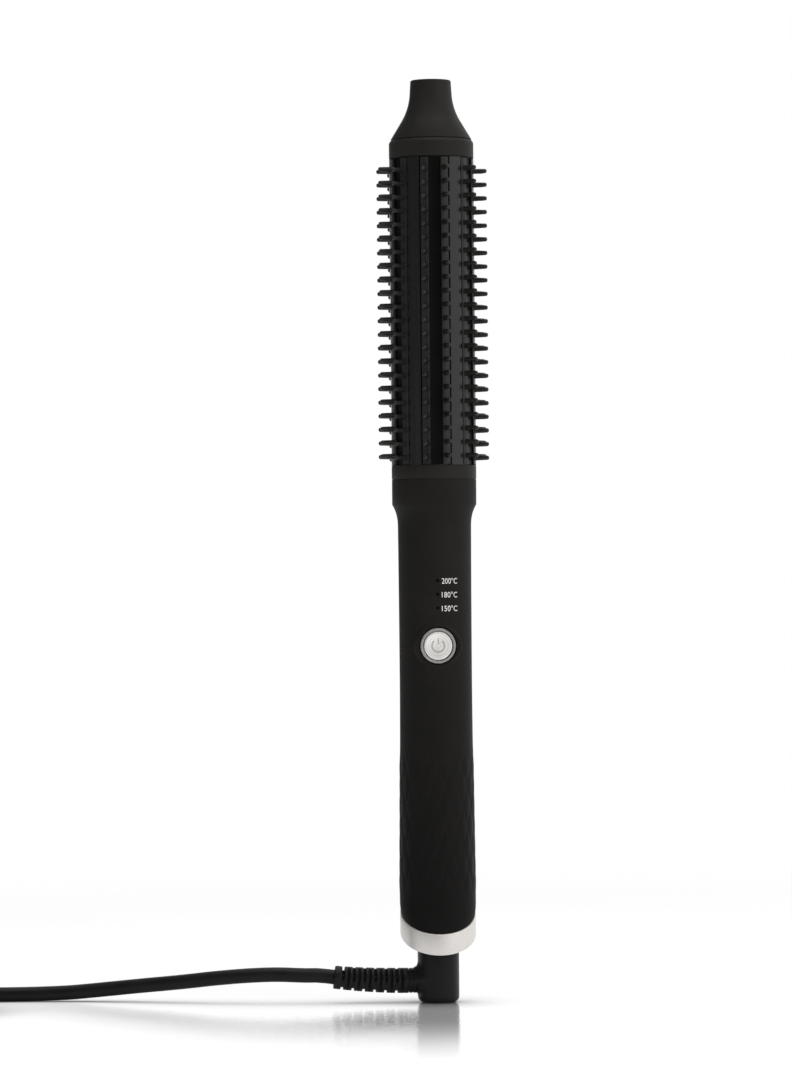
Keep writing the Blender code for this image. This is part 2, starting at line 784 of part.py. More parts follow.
def comb_strip(number):
    """A foot in the channel, two rails with a row of pins each, and a sunk window between them."""
    window_r = BARREL_R - WINDOW_DEPTH
    profile = (
        arc(STRIP_FOOT_LOW_R, -FOOT_HALF_ANGLE, FOOT_HALF_ANGLE, 3)
        + arc(STRIP_FOOT_TOP_R, FOOT_HALF_ANGLE, STRIP_HALF_ANGLE, 1)
        + arc(BARREL_R, STRIP_HALF_ANGLE, WINDOW_HALF_ANGLE, 2)
        + arc(window_r, WINDOW_HALF_ANGLE, -WINDOW_HALF_ANGLE, 2)
        + arc(BARREL_R, -WINDOW_HALF_ANGLE, -STRIP_HALF_ANGLE, 2)
        + arc(STRIP_FOOT_TOP_R, -STRIP_HALF_ANGLE, -FOOT_HALF_ANGLE, 1)
    )
    strip = extruded(f"comb_strip_{number}", [profile], BARREL_LOW, BARREL_TOP)
    count = 1 + int((BARREL_LENGTH - 2 * PIN_MARGIN) / PIN_PITCH)
    low_side = -1 if number in LEFT_HAND_STRIPS else 1
    bm = bmesh.new()
    for side in (-1, 1):
        first = BARREL_LOW + PIN_MARGIN
        if side == low_side:
            first -= PIN_STAGGER
        for k in range(count):
            height = first + PIN_PITCH * k
            root = Vector((*polar(BARREL_R - PIN_ROOT, side * ROW_ANGLE), height))
            tip = Vector((*polar(BARREL_R + PIN_REACH, side * ROW_ANGLE), height))
            add_rod(bm, root, tip, PIN_BASE_R, PIN_SIDES, PIN_TIP_R)
    join(strip, from_bmesh("comb_pins", bm))
    return baked(strip)


def comb_strips():
    """Six strips of two hands: the pins of the left or of the right row sit a little lower."""
    for k in range(STRIP_COUNT):
        strip = comb_strip(k + 1)
        strip.rotation_euler.z = math.tau * k / STRIP_COUNT
        finish(strip, "comb_strip")


def cool_tip():
    """The moulded tip: a bell outside, hollow inside, with a stem that takes the tip screw."""
    base_r = BARREL_R - CAP_CHAMFER
    slope_r = TIP_TOP_R + TIP_HEIGHT * math.tan(TIP_TAPER)
    meet = (base_r - slope_r) / (math.tan(TIP_CONE) - math.tan(TIP_TAPER))
    meet_r = base_r - meet * math.tan(TIP_CONE)
    offset = TIP_WALL / math.cos(TIP_CONE)
    stem_low = TIP_LOW - WEB_DROP
    pilot = SCREW_R + GAP
    edge = [(0, TIP_TOP, 0), (TIP_TOP_R, TIP_TOP, TIP_EDGE), (meet_r, TIP_LOW + meet, 0)]
    flare = [(TIP_TOP_R, TIP_TOP, 0), (meet_r, TIP_LOW + meet, TIP_FLARE_R), (base_r, TIP_LOW, 0)]
    profile = rounded(edge, 2)[:-1] + rounded(flare, 5)[1:] + [
        (base_r - offset, TIP_LOW),
        (meet_r - offset, TIP_LOW + meet),
        (TIP_TOP_R - TIP_WALL, TIP_TOP - TIP_WALL),
        (STEM_R, TIP_TOP - TIP_WALL),
        (STEM_R, stem_low),
        (pilot, stem_low),
        (pilot, stem_low + TIP_SCREW_LENGTH),
        (0, stem_low + TIP_SCREW_LENGTH),
    ]
    return finish(turned("cool_tip", profile), "cool_tip")


def end_cap():
    """The band above the barrel: a chamfered ring, a spigot in the bore and a web for the screw."""
    spigot = BARREL_BORE - GAP
    web_top = CAP_TOP - WEB_DROP
    web_low = web_top - WEB_THICKNESS
    profile = [
        (BARREL_R - CAP_WALL, CAP_TOP),
        (BARREL_R - CAP_CHAMFER, CAP_TOP),
        (BARREL_R, CAP_TOP - CAP_CHAMFER / math.tan(TIP_CONE)),
        (BARREL_R, CAP_LOW),
        (spigot, CAP_LOW),
        (spigot, CAP_LOW - CAP_SPIGOT),
        (spigot - SPIGOT_WALL, CAP_LOW - CAP_SPIGOT),
        (spigot - SPIGOT_WALL, web_low),
        (SCREW_R + GAP, web_low),
        (SCREW_R + GAP, web_top),
        (BARREL_R - CAP_WALL, web_top),
    ]
    return finish(turned("end_cap", profile, closed=True), "end_cap")


def tip_screw():
    """Holds the cool tip on the end cap's web, from inside the barrel."""
    seat = CAP_TOP - WEB_DROP - WEB_THICKNESS - GAP
    finish(screw("tip_screw", seat, TIP_SCREW_LENGTH), "tip_screw")


def base_ring():
    """Trim ring between the barrel and the handle, seated on the barrel mount."""
    bore = MOUNT_SEAT_R + GAP
    profile = [
        (bore, BASE_RING_TOP),
        (BARREL_R, BASE_RING_TOP),
        (BARREL_R, BASE_RING_LOW),
        (bore, BASE_RING_LOW),
    ]
    return finish(turned("base_ring", profile, closed=True), "base_ring")


def barrel_mount():
    """Heat-resistant bush: a spigot in the barrel, a flange trapped in the collar, a tail in the neck."""
    flange_r = COLLAR_BORE - GAP
    flange_top = HANDLE_TOP - SHELL_WALL - GAP
    flange_low = COLLAR_LOW + GAP + GAP
    tail_r = NECK_BORE - GAP
    profile = [
        (MOUNT_BORE, BARREL_LOW + MOUNT_SPIGOT),
        (BARREL_BORE - GAP, BARREL_LOW + MOUNT_SPIGOT),
        (BARREL_BORE - GAP, BARREL_LOW - GAP),
        (MOUNT_SEAT_R, BARREL_LOW - GAP),
        (MOUNT_SEAT_R, flange_top),
        (flange_r, flange_top),
        (flange_r, flange_low),
        (tail_r, flange_low),
        (tail_r, flange_low - MOUNT_TAIL),
        (MOUNT_BORE, flange_low - MOUNT_TAIL),
    ]
    return finish(turned("barrel_mount", profile, INNER_STEPS, closed=True), "barrel_mount")


def heater():
    """Two half-round spreaders around a flat pack: sleeve, electrodes and ceramic stones."""
    spreader_r = BARREL_BORE - GAP
    edge = math.acos(PACK_HALF / spreader_r)
    for name, side in (("front", 0.0), ("rear", math.pi)):
        half_round = arc(spreader_r, side - edge, side + edge, INNER_STEPS // 2)
        spreader = extruded(f"heat_spreader_{name}", [half_round], HEATER_LOW, HEATER_TOP)
        if name == "front":
            x, y = polar(SENSOR_OFFSET, side)
            top = HEATER_LOW + SENSOR_INSET + SENSOR_LENGTH + GAP
            hole = ((x, y, HEATER_LOW - OVERRUN), (x, y, top), SENSOR_R + GAP)
            cut(spreader, rods("sensor_hole", [hole], PIN_STEPS))
        finish(spreader, "heat_spreader")

    wide = SLEEVE_WIDTH / 2
    inner_wide = wide - SLEEVE_WALL
    inner_half = SLEEVE_HALF - SLEEVE_WALL
    loops = [
        [(-x, -y), (x, -y), (x, y), (-x, y)] for x, y in ((wide, SLEEVE_HALF), (inner_wide, inner_half))
    ]
    finish(extruded("insulating_sleeve", loops, HEATER_LOW, HEATER_TOP), "insulating_sleeve")

    half = ELECTRODE_WIDTH / 2
    plate_low = HEATER_LOW + GAP
    for name, side in (("front", -1), ("rear", 1)):
        lug = side * LUG_OFFSET
        outline = [
            (-half, plate_low),
            (lug - LUG_WIDTH / 2, plate_low),
            (lug - LUG_WIDTH / 2, LUG_LOW),
            (lug + LUG_WIDTH / 2, LUG_LOW),
            (lug + LUG_WIDTH / 2, plate_low),
            (half, plate_low),
            (half, HEATER_TOP - GAP),
            (-half, HEATER_TOP - GAP),
        ]
        near, far = sorted((side * ELECTRODE_IN, side * ELECTRODE_OUT))
        electrode = extruded(f"electrode_{name}", [outline], -far, -near)
        electrode.data.transform(Matrix.Rotation(math.radians(90), 4, "X"))
        finish(electrode, "electrode")

    for k in range(STONE_COUNT):
        start = HEATER_LOW + STONE_MARGIN + k * (STONE_LENGTH + STONE_SPACE)
        corners = ((-half, -STONE_HALF, start), (half, STONE_HALF, start + STONE_LENGTH))
        finish(boxes(f"ceramic_stone_{k + 1}", [corners]), "ceramic_stone")


def heater_wiring():
    """The thermistor in its hole, the fuse under one electrode, and the leads down to the board."""
    sensor_y = -SENSOR_OFFSET
    sensor_low = HEATER_LOW + SENSOR_INSET
    bead = ((0, sensor_y, sensor_low), (0, sensor_y, sensor_low + SENSOR_LENGTH), SENSOR_R)
    finish(rods("thermistor", [bead], PIN_STEPS), "thermistor")

    electrode_y = (ELECTRODE_IN + ELECTRODE_OUT) / 2
    fuse_top = LUG_LOW - GAP - FUSE_LEAD
    fuse_low = fuse_top - FUSE_LENGTH
    profile = [
        (0, LUG_LOW - GAP),
        (FUSE_LEAD_R, LUG_LOW - GAP),
        (FUSE_LEAD_R, fuse_top),
        (FUSE_R, fuse_top),
        (FUSE_R, fuse_low),
        (0, fuse_low),
    ]
    fuse = turned("thermal_fuse", profile, PIN_STEPS)
    fuse.location = (LUG_OFFSET, electrode_y, 0)
    finish(fuse, "thermal_fuse")

    mount_low = COLLAR_LOW + GAP + GAP - MOUNT_TAIL
    lead_y = -BOARD_BACK + GAP + WIRE_R
    lead_end = BOARD_TOP - BOARD_SCREW_INSET
    for name, side, top in (("live", -1, LUG_LOW - GAP), ("neutral", 1, fuse_low - GAP)):
        x = side * LUG_OFFSET
        y = side * electrode_y
        board_x = side * LEAD_SPREAD
        route = [
            (x, y, top),
            (x, y, mount_low + OVERRUN),
            (board_x, (y + lead_y) / 2, (mount_low + BOARD_TOP) / 2),
            (board_x, lead_y, BOARD_TOP),
            (board_x, lead_y, lead_end),
        ]
        finish(tube(f"heater_lead_{name}", route, WIRE_R, 1), "heater_lead")

    front_y = -BOARD_FACE - GAP - SENSOR_WIRE_R
    route = [
        (0, sensor_y, sensor_low - GAP),
        (0, sensor_y, mount_low),
        (LEAD_SPREAD, front_y, BOARD_TOP),
        (LEAD_SPREAD, front_y, lead_end),
    ]
    lead = twin_wire("sensor_lead", route, (SENSOR_WIRE_OFFSET, 0, 0), SENSOR_WIRE_R)
    finish(lead, "sensor_lead")


def end_pocket():
    """Cutter for a shell's lower end: an oblique step that the end ring and end plate fill."""
    wide = END_R + OVERRUN
    low = PLATE_TOP_Z + GAP
    bottom = -HANDLE_LENGTH
    profile = [
        (0, low),
        (SPIGOT_R, low),
        (SPIGOT_R, SHELL_LOW_Z),
        (wide, SHELL_LOW_Z),
        (wide, bottom),
        (0, bottom),
    ]
    twist = Matrix.Rotation(HALF_SHARE * math.tau / HANDLE_STEPS, 4, "Z")
    return baked(turned("end_pocket", profile, HANDLE_STEPS), oblique() @ twist)


def oblique():
    """The shear that tilts a turned piece's level faces to the slope of the end ring."""
    slope = Matrix.Identity(4)
    slope[2][1] = RING_SLOPE
    return slope


def shell_body(name):
    """Both halves of the handle in one turned wall, before it is split."""
    outer = [(COLLAR_R, HANDLE_TOP), (COLLAR_R, COLLAR_LOW)]
    outer += [(handle_radius(z), z) for z in between(NECK_LOW, COLLAR_LOW, 5)[1:]]
    outer += [(handle_radius(z), z) for z in between(WAIST_Z, NECK_LOW, 2)[1:]]
    outer += [(handle_radius(z), z) for z in between(SHELL_LOW_Z, WAIST_Z, 4)[1:]]
    bottom = PLATE_TOP_Z - RING_SLOPE * END_R - OVERRUN
    rib_low = BUSH_TOP + GAP
    rib_high = rib_low + RIB_H
    rib_r = BUSH_FLANGE_R - RIB_DEPTH
    seat_r = BUSH_FLANGE_R + GAP
    inner = [
        (SPIGOT_BORE, bottom),
        (SPIGOT_BORE, STEP_Z),
        (seat_r, STEP_Z),
        (seat_r, rib_low),
        (rib_r, rib_low),
        (rib_r, rib_high),
        (handle_radius(rib_high) - SHELL_WALL, rib_high),
    ]
    inner += [(handle_radius(z) - SHELL_WALL, z) for z in reversed(between(rib_high, WAIST_Z, 2)[:-1])]
    inner += [
        (NECK_BORE, NECK_LOW),
        (NECK_BORE, COLLAR_LOW + GAP),
        (COLLAR_BORE, COLLAR_LOW + GAP),
        (COLLAR_BORE, HANDLE_TOP - SHELL_WALL),
        (MOUNT_SEAT_R + GAP, HANDLE_TOP - SHELL_WALL),
        (MOUNT_SEAT_R + GAP, HANDLE_TOP),
    ]
    return turned(name, outer + [(END_R, bottom)] + inner, HANDLE_STEPS, closed=True)


def half_space(name, side):
    """Cutter that leaves the front (side -1) or the rear (side 1) half of the handle."""
    wide = HANDLE_WIDEST_R + OVERRUN
    near = side * GAP / 2
    far = -side * wide
    low = (-wide, min(near, far), 0)
    high = (wide, max(near, far), HANDLE_TOP + OVERRUN)
    return boxes(name, [(low, high)])


def handle_shells():
    """Front shell with pad, bosses and holes, and rear shell with its two screw seats."""
    boss_r = SCREW_R + GAP + BOSS_WALL
    hole_r = SCREW_R + GAP

    front = shell_body("handle_front_shell")
    cut(front, half_space("front_split", -1))
    cut(front, end_pocket())
    bm = bmesh.new()
    pad_r = BUTTON_HOLE_R + PAD_RIM
    add_rod(
        bm,
        (0, -PAD_FACE + PAD_DEPTH, BUTTON_Z),
        (0, -PAD_FACE, BUTTON_Z),
        pad_r + PAD_FLARE,
        INNER_STEPS,
        pad_r,
    )
    for z in (POST_Z, BOARD_SCREW_Z):
        add_rod(bm, (0, -wall_middle(z), z), (0, -BOARD_FACE - GAP, z), boss_r, SMALL_STEPS)
    for z in CLOSING_Z:
        add_rod(bm, (0, -wall_middle(z), z), (0, -GAP / 2, z), boss_r, SMALL_STEPS)
    join(front, from_bmesh("front_bosses", bm))
    post = ((0, -BOARD_FACE - BOARD_THICKNESS, POST_Z), (0, -BOARD_BACK, POST_Z), SCREW_R)
    join(front, rods("board_post", [post], PIN_STEPS))
    bm = bmesh.new()
    hole_front = (0, -BEZEL_FACE - OVERRUN, BUTTON_Z)
    add_rod(bm, hole_front, (0, -BOARD_FACE - OVERRUN, BUTTON_Z), BUTTON_HOLE_R, INNER_STEPS)
    for z in LAMP_Z:
        start = (0, -HANDLE_WIDEST_R, z)
        end = (0, -HANDLE_NARROW_BORE + OVERRUN, z)
        add_rod(bm, start, end, PIPE_PIN_R + PIPE_CLEARANCE, PIN_STEPS)
    pilot_end = (0, -BOARD_SCREW_LENGTH - BOARD_BACK, BOARD_SCREW_Z)
    add_rod(bm, pilot_end, (0, 0, BOARD_SCREW_Z), hole_r, PIN_STEPS)
    for z in CLOSING_Z:
        add_rod(bm, (0, CLOSING_SEAT - CLOSING_SCREW_LENGTH - GAP, z), (0, OVERRUN, z), hole_r, PIN_STEPS)
    cut(front, from_bmesh("front_holes", bm))
    finish(front, "handle_front_shell")

    rear = shell_body("handle_rear_shell")
    cut(rear, half_space("rear_split", 1))
    cut(rear, end_pocket())
    head_hole_r = SCREW_HEAD_R + HEAD_CLEARANCE
    bm = bmesh.new()
    for z in CLOSING_Z:
        add_rod(bm, (0, GAP / 2, z), (0, wall_middle(z), z), head_hole_r + BOSS_WALL, SMALL_STEPS)
    join(rear, from_bmesh("rear_bosses", bm))
    bm = bmesh.new()
    for z in CLOSING_Z:
        add_rod(bm, (0, -OVERRUN, z), (0, CLOSING_SEAT + OVERRUN, z), hole_r, PIN_STEPS)
    cut(rear, from_bmesh("rear_holes", bm))
    bm = bmesh.new()
    for z in CLOSING_Z:
        seat = (0, CLOSING_SEAT, z)
        add_rod(bm, seat, (0, HANDLE_WIDEST_R, z), head_hole_r, SMALL_STEPS, twist_share=HALF_SHARE)
    cut(rear, from_bmesh("rear_seats", bm))
    finish(rear, "handle_rear_shell")


def handle_end():
    """The silver ring around the shells' lower end and the plate inside it, both cut on the slope."""
    profile = rounded(
        [
            (RING_BORE, RING_HIGH_Z, 0),
            (RING_R, RING_HIGH_Z, RING_EDGE),
            (RING_R, RING_LOW_Z, RING_EDGE),
            (RING_BORE, RING_LOW_Z, 0),
        ],
        1,
    )
    ring = baked(turned("end_ring", profile, HANDLE_STEPS, closed=True), oblique())
    finish(ring, "end_ring")

    hole = ELBOW_R + GAP
    low = PLATE_TOP_Z - PLATE_THICKNESS
    profile = [(hole, PLATE_TOP_Z), (SPIGOT_R, PLATE_TOP_Z), (SPIGOT_R, low), (hole, low)]
    plate = baked(turned("end_plate", profile, HANDLE_STEPS, closed=True), oblique())
    finish(plate, "end_plate")


def power_button():
    """The button with the stem on its back, its bezel, and the push switch that the stem works."""
    bezel_low = BEZEL_FACE - BEZEL_DEPTH
    profile = rounded(
        [
            (BEZEL_BORE, BEZEL_FACE, BEZEL_EDGE),
            (BEZEL_R, BEZEL_FACE, BEZEL_EDGE),
            (BEZEL_R, bezel_low, 0),
            (BEZEL_BORE, bezel_low, 0),
        ],
        2,
    )
    bezel = turned("button_bezel", profile, INNER_STEPS, closed=True)
    finish(along_front(bezel, BUTTON_Z), "button_bezel")

    flange_top = BUTTON_FACE - BUTTON_THICKNESS
    stem_back = SWITCH_FRONT - GAP
    corners = [
        (0, BUTTON_FACE - BUTTON_DISH, 0),
        (BUTTON_R, BUTTON_FACE, BUTTON_EDGE),
        (BUTTON_R, flange_top, 0),
        (BEZEL_R, flange_top, 0),
        (BEZEL_R, BUTTON_BACK, 0),
        (SWITCH_STEM_R, BUTTON_BACK, 0),
        (SWITCH_STEM_R, stem_back, 0),
        (0, stem_back, 0),
    ]
    button = along_front(turned("power_button", rounded(corners, 2), INNER_STEPS), BUTTON_Z)
    finish(button, "power_button", button_axis)

    half = SWITCH_SIZE / 2
    low = (-half, -SWITCH_FRONT, BUTTON_Z - half)
    high = (half, -SWITCH_BACK, BUTTON_Z + half)
    switch = boxes("push_switch", [(low, high)])
    socket = rods(
        "switch_socket",
        [
            (
                (0, -SWITCH_FRONT + BUTTON_TRAVEL + SWITCH_SPARE, BUTTON_Z),
                (0, -SWITCH_FRONT - OVERRUN, BUTTON_Z),
                SWITCH_STEM_R + GAP,
            )
        ],
        PIN_STEPS,
    )
    finish(cut(switch, socket), "push_switch")


def lamps():
    """A strip of three lamps on the board, and the light pipe whose pins fill the shell's holes."""
    back = -BOARD_FACE - GAP
    strip_front = back - LAMP_STRIP_THICKNESS
    lamp_front = strip_front - LAMP_HEIGHT
    low_z = min(LAMP_Z) - PIPE_MARGIN
    high_z = max(LAMP_Z) + PIPE_MARGIN
    half = LAMP_STRIP_WIDTH / 2
    strip = boxes("lamp_strip", [((-half, strip_front, low_z), (half, back, high_z))])
    bm = bmesh.new()
    for z in LAMP_Z:
        low = (-LAMP_WIDTH / 2, lamp_front, z - LAMP_LENGTH / 2)
        high = (LAMP_WIDTH / 2, back - LAMP_STRIP_THICKNESS / 2, z + LAMP_LENGTH / 2)
        add_box(bm, low, high)
    finish(join(strip, from_bmesh("lamps", bm)), "lamp_strip")

    pipe_back = lamp_front - GAP
    pipe_front = pipe_back - PIPE_THICKNESS
    half = PIPE_WIDTH / 2
    pipe = boxes("light_pipe", [((-half, pipe_front, low_z), (half, pipe_back, high_z))])
    rows = []
    for z in LAMP_Z:
        front = handle_radius(z) - PIPE_SETBACK
        rows.append(((0, pipe_front + PIPE_THICKNESS / 2, z), (0, -front, z), PIPE_PIN_R))
    finish(join(pipe, rods("pipe_pins", rows, PIN_STEPS)), "light_pipe")


def circuit_board():
    """The board with its holes, and the parts soldered to its rear face."""
    low = (-BOARD_HALF_WIDTH, -BOARD_FACE, BOARD_LOW)
    high = (BOARD_HALF_WIDTH, -BOARD_BACK, BOARD_TOP)
    board = boxes("circuit_board", [(low, high)])
    rows = []
    for z in (POST_Z, BOARD_SCREW_Z):
        rows.append(((0, -BOARD_FACE - OVERRUN, z), (0, -BOARD_BACK + OVERRUN, z), SCREW_R + GAP))
    finish(cut(board, rods("board_holes", rows, PIN_STEPS)), "circuit_board")

    near = -BOARD_BACK + GAP
    for name, size, drop in (
        ("capacitor", CAPACITOR_SIZE, CAPACITOR_DROP),
        ("triac", TRIAC_SIZE, TRIAC_DROP),
        ("controller_chip", CHIP_SIZE, CHIP_DROP),
    ):
        wide, deep, tall = size
        top = BOARD_TOP - drop
        corners = ((-wide / 2, near, top - tall), (wide / 2, near + deep, top))
        finish(boxes(name, [corners]), name)


def fasteners():
    """The board's screw, and the two screws that close the shells from the rear."""
    board = screw("board_screw", BOARD_BACK - GAP, BOARD_SCREW_LENGTH - GAP)
    finish(along_front(board, BOARD_SCREW_Z), "board_screw")
    for name, z in zip(("lower", "upper"), CLOSING_Z):
        closing = screw(f"closing_screw_{name}", -CLOSING_SEAT - GAP, CLOSING_SCREW_LENGTH)
        finish(along_front(closing, z), "closing_screw")


def swivel_seat():
    """The fixed bush that the elbow turns in, the contact holder above it and its two springs."""
    profile = [
        (BUSH_BORE, BUSH_TOP),
        (BUSH_FLANGE_R, BUSH_TOP),
        (BUSH_FLANGE_R, STEP_Z + GAP),
        (BUSH_R, STEP_Z + GAP),
        (BUSH_R, BUSH_LOW),
        (BUSH_BORE, BUSH_LOW),
    ]
    finish(turned("swivel_bush", profile, INNER_STEPS, closed=True), "swivel_bush")

    half = SPRING_WIDTH / 2
    far = SPRING_X + SPRING_THICKNESS
    pin_spring = [
        (SPRING_OVERLAP, SPRING_LOW),
        (SPRING_OVERLAP, SPRING_LOW + SPRING_THICKNESS),
        (-SPRING_X, SPRING_LOW + SPRING_THICKNESS),
        (-SPRING_X, SPRING_TOP),
        (-far, SPRING_TOP),
        (-far, SPRING_LOW),
    ]
    spring = extruded("pin_spring", [pin_spring], -half, half)
    spring.data.transform(Matrix.Rotation(math.radians(90), 4, "X"))
    finish(spring, "contact_spring")
    corners = ((SPRING_X, -half, SHAFT_TOP + GAP), (far, half, SPRING_TOP))
    finish(boxes("sleeve_spring", [corners]), "contact_spring")

    holder_r = handle_radius(HOLDER_TOP) - SHELL_WALL - GAP
    profile = [(0, HOLDER_TOP), (holder_r, HOLDER_TOP), (holder_r, HOLDER_LOW), (0, HOLDER_LOW)]
    holder = turned("contact_holder", profile, INNER_STEPS)
    low = HOLDER_LOW - OVERRUN / 2
    high = HOLDER_TOP + OVERRUN
    slots = [
        ((-far - GAP, -half - GAP, low), (-SPRING_X + GAP, half + GAP, high)),
        ((SPRING_X - GAP, -half - GAP, low), (far + GAP, half + GAP, high)),
    ]
    finish(cut(holder, boxes("spring_slots", slots)), "contact_holder")

    lead_x = SPRING_X + SPRING_THICKNESS / 2
    board_y = -BOARD_BACK + GAP + WIRE_R
    end = BOARD_LOW + BOARD_SCREW_INSET
    for name, side in (("live", -1), ("neutral", 1)):
        x = side * lead_x
        route = [
            (x, 0, SPRING_TOP + GAP),
            (x, 0, CLOSING_Z[1]),
            (x, board_y, BOARD_LOW),
            (x, board_y, end),
        ]
        finish(tube(f"supply_lead_{name}", route, WIRE_R, 1), "supply_lead")


def swivel_elbow():
    """The turning foot: a post into the handle, an arm for the cord and a bore for its cores."""
    profile = [
        (0, FOOT_FLOOR),
        (ELBOW_BORE, FOOT_FLOOR),
        (ELBOW_BORE, STUB_TOP),
        (STUB_R, STUB_TOP),
        (STUB_R, SHAFT_TOP),
        (SHAFT_R, SHAFT_TOP),
        (SHAFT_R, CLIP_HIGH + GAP),
        (GROOVE_R, CLIP_HIGH + GAP),
        (GROOVE_R, BUSH_TOP),
        (SHAFT_R, BUSH_TOP),
        (SHAFT_R, SHOULDER_Z),
        (ELBOW_R, SHOULDER_Z),
    ]
    profile += rounded([(ELBOW_R, SHOULDER_Z, 0), (ELBOW_R, 0, FOOT_EDGE), (0, 0, 0)], 3)[1:]
    elbow = turned("swivel_elbow", profile, ROUND_STEPS)
    inside = -(ELBOW_R + ELBOW_BORE) / 2
    root = -ELBOW_R + ARM_FLARE
    bm = bmesh.new()
    add_rod(bm, (inside, 0, ARM_Z), (-ARM_REACH, 0, ARM_Z), ARM_R, SMALL_STEPS)
    join(elbow, from_bmesh("elbow_arm", bm))
    bm = bmesh.new()
    flare_r = ARM_R + ARM_FLARE
    add_rod(bm, (root, 0, ARM_Z), (root - ARM_FLARE_LENGTH, 0, ARM_Z), flare_r, SMALL_STEPS, ARM_R + GAP)
    join(elbow, from_bmesh("elbow_flare", bm))
    bore = rods("arm_bore", [((-ARM_REACH - OVERRUN, 0, ARM_Z), (0, 0, ARM_Z), ARM_BORE)], PIN_STEPS)
    finish(cut(elbow, bore), "swivel_elbow", swivel_axis)

    inner = GROOVE_R + GAP
    outer = inner + CLIP_WIDTH
    start = CLIP_OPENING / 2
    end = math.tau - start
    loop = arc(outer, start, end, SMALL_STEPS) + arc(inner, end, start, SMALL_STEPS)
    finish(extruded("retaining_clip", [loop], CLIP_LOW, CLIP_HIGH), "retaining_clip", swivel_axis)

    low = SHAFT_TOP + GAP
    profile = [
        (STUB_R + GAP, low + CONTACT_HEIGHT),
        (CONTACT_R, low + CONTACT_HEIGHT),
        (CONTACT_R, low),
        (STUB_R + GAP, low),
    ]
    finish(turned("contact_sleeve", profile, SMALL_STEPS, closed=True), "contact_sleeve", swivel_axis)

    head = STUB_TOP + GAP
    shank = ELBOW_BORE - GAP
    corners = [
        (0, PIN_CONTACT_TOP, 0),
        (CONTACT_TIP_R, PIN_CONTACT_TOP, CONTACT_TIP_R / 2),
        (CONTACT_TIP_R, head + CONTACT_HEAD, 0),
        (STUB_R, head + CONTACT_HEAD, 0),
        (STUB_R, head, 0),
        (shank, head, 0),
        (shank, head - CONTACT_SHANK, 0),
        (0, head - CONTACT_SHANK, 0),
    ]
    finish(turned("contact_pin", rounded(corners, 3), SMALL_STEPS), "contact_pin", swivel_axis)

    top = head - CONTACT_SHANK - GAP
    bend = ARM_BORE
    route = [
        (-ARM_REACH + GAP, 0, ARM_Z),
        (-bend, 0, ARM_Z),
        (-bend / 4, 0, ARM_Z + bend / 4),
        (0, 0, ARM_Z + bend),
        (0, 0, top),
    ]
    cores = twin_wire("elbow_cores", route, (0, CORE_OFFSET, 0), CORE_R)
    finish(cores, "elbow_cores", swivel_axis)


def relief_point(along, up, side):
    """A point of the strain relief, which rises from the elbow on a wide arc."""
    angle = along / RELIEF_BEND_R
    reach = (RELIEF_BEND_R - up) * math.sin(angle)
    height = RELIEF_BEND_R - (RELIEF_BEND_R - up) * math.cos(angle)
    return Vector((-ARM_REACH - GAP - reach, side, ARM_Z + height))


def strain_relief():
    """A tapered sleeve on the cord, slotted so that it bends: modelled straight, then bent."""
    profile = [(0, RELIEF_LENGTH), (RELIEF_END_R, RELIEF_LENGTH)]
    count = int((RELIEF_LENGTH - RELIEF_ROOT) / SLOT_PITCH)
    profile += [(RELIEF_R, RELIEF_ROOT), (RELIEF_R, 0), (0, 0)]
    relief = turned("strain_relief", profile, SMALL_STEPS)
    bm = bmesh.new()
    wide = RELIEF_R + OVERRUN
    for k in range(count):
        low = RELIEF_ROOT + SLOT_PITCH * k
        high = low + SLOT_WIDTH
        for side in (-1, 1):
            near, far = sorted((side * RELIEF_CORE, side * wide))
            if k % 2:
                add_box(bm, (near, -wide, low), (far, wide, high))
            else:
                add_box(bm, (-wide, near, low), (wide, far, high))
    cut(relief, from_bmesh("relief_slots", bm))
    relief = baked(relief)
    for vertex in relief.data.vertices:
        vertex.co = relief_point(vertex.co.z, vertex.co.x, vertex.co.y)
    finish(relief, "strain_relief", swivel_axis)


def coil_point(turns):
    """A point of the coil's centreline: spirals in and out, a layer higher at each reversal."""
    layer = int(turns / LAYER_TURNS)
    into = turns - layer * LAYER_TURNS
    inward = layer % 2 == 0
    radius = COIL_OUTER_R - into * TURN_PITCH if inward else COIL_INNER_R + into * TURN_PITCH
    height = COIL_Z
    for k in range(1, COIL_LAYERS):
        climb = (turns - k * LAYER_TURNS + CLIMB_TURNS / 2) / CLIMB_TURNS
        climb = min(1, max(0, climb))
        height += TURN_PITCH * climb**2 * (3 - 2 * climb)
    angle = COIL_START + math.tau * turns
    x, y = COIL_CENTRE
    return Vector((x + radius * math.cos(angle), y + radius * math.sin(angle), height))


def coil_route():
    """The coil's centreline with a straight diameter at each end."""
    count = round(COIL_TURNS * LOOP_POINTS)
    points = [coil_point(k / LOOP_POINTS) for k in range(count + 1)]
    lead_in = (points[0] - coil_point(1 / (8 * LOOP_POINTS))).normalized()
    lead_out = (points[-1] - coil_point(COIL_TURNS - 1 / (8 * LOOP_POINTS))).normalized()
    return [points[0] + lead_in * CORD_D, *points, points[-1] + lead_out * CORD_D]


def least_gap(points, diameter):
    """A tube's least gap to itself, over three diameters further along it."""
    shares = [k / 8 for k in range(8)]
    fine = [here.lerp(there, share) for here, there in zip(points, points[1:]) for share in shares]
    apart = math.ceil(3 * diameter * len(fine) / route_length(points))
    return min((a - b).length for k, a in enumerate(fine) for b in fine[k + apart :]) - diameter


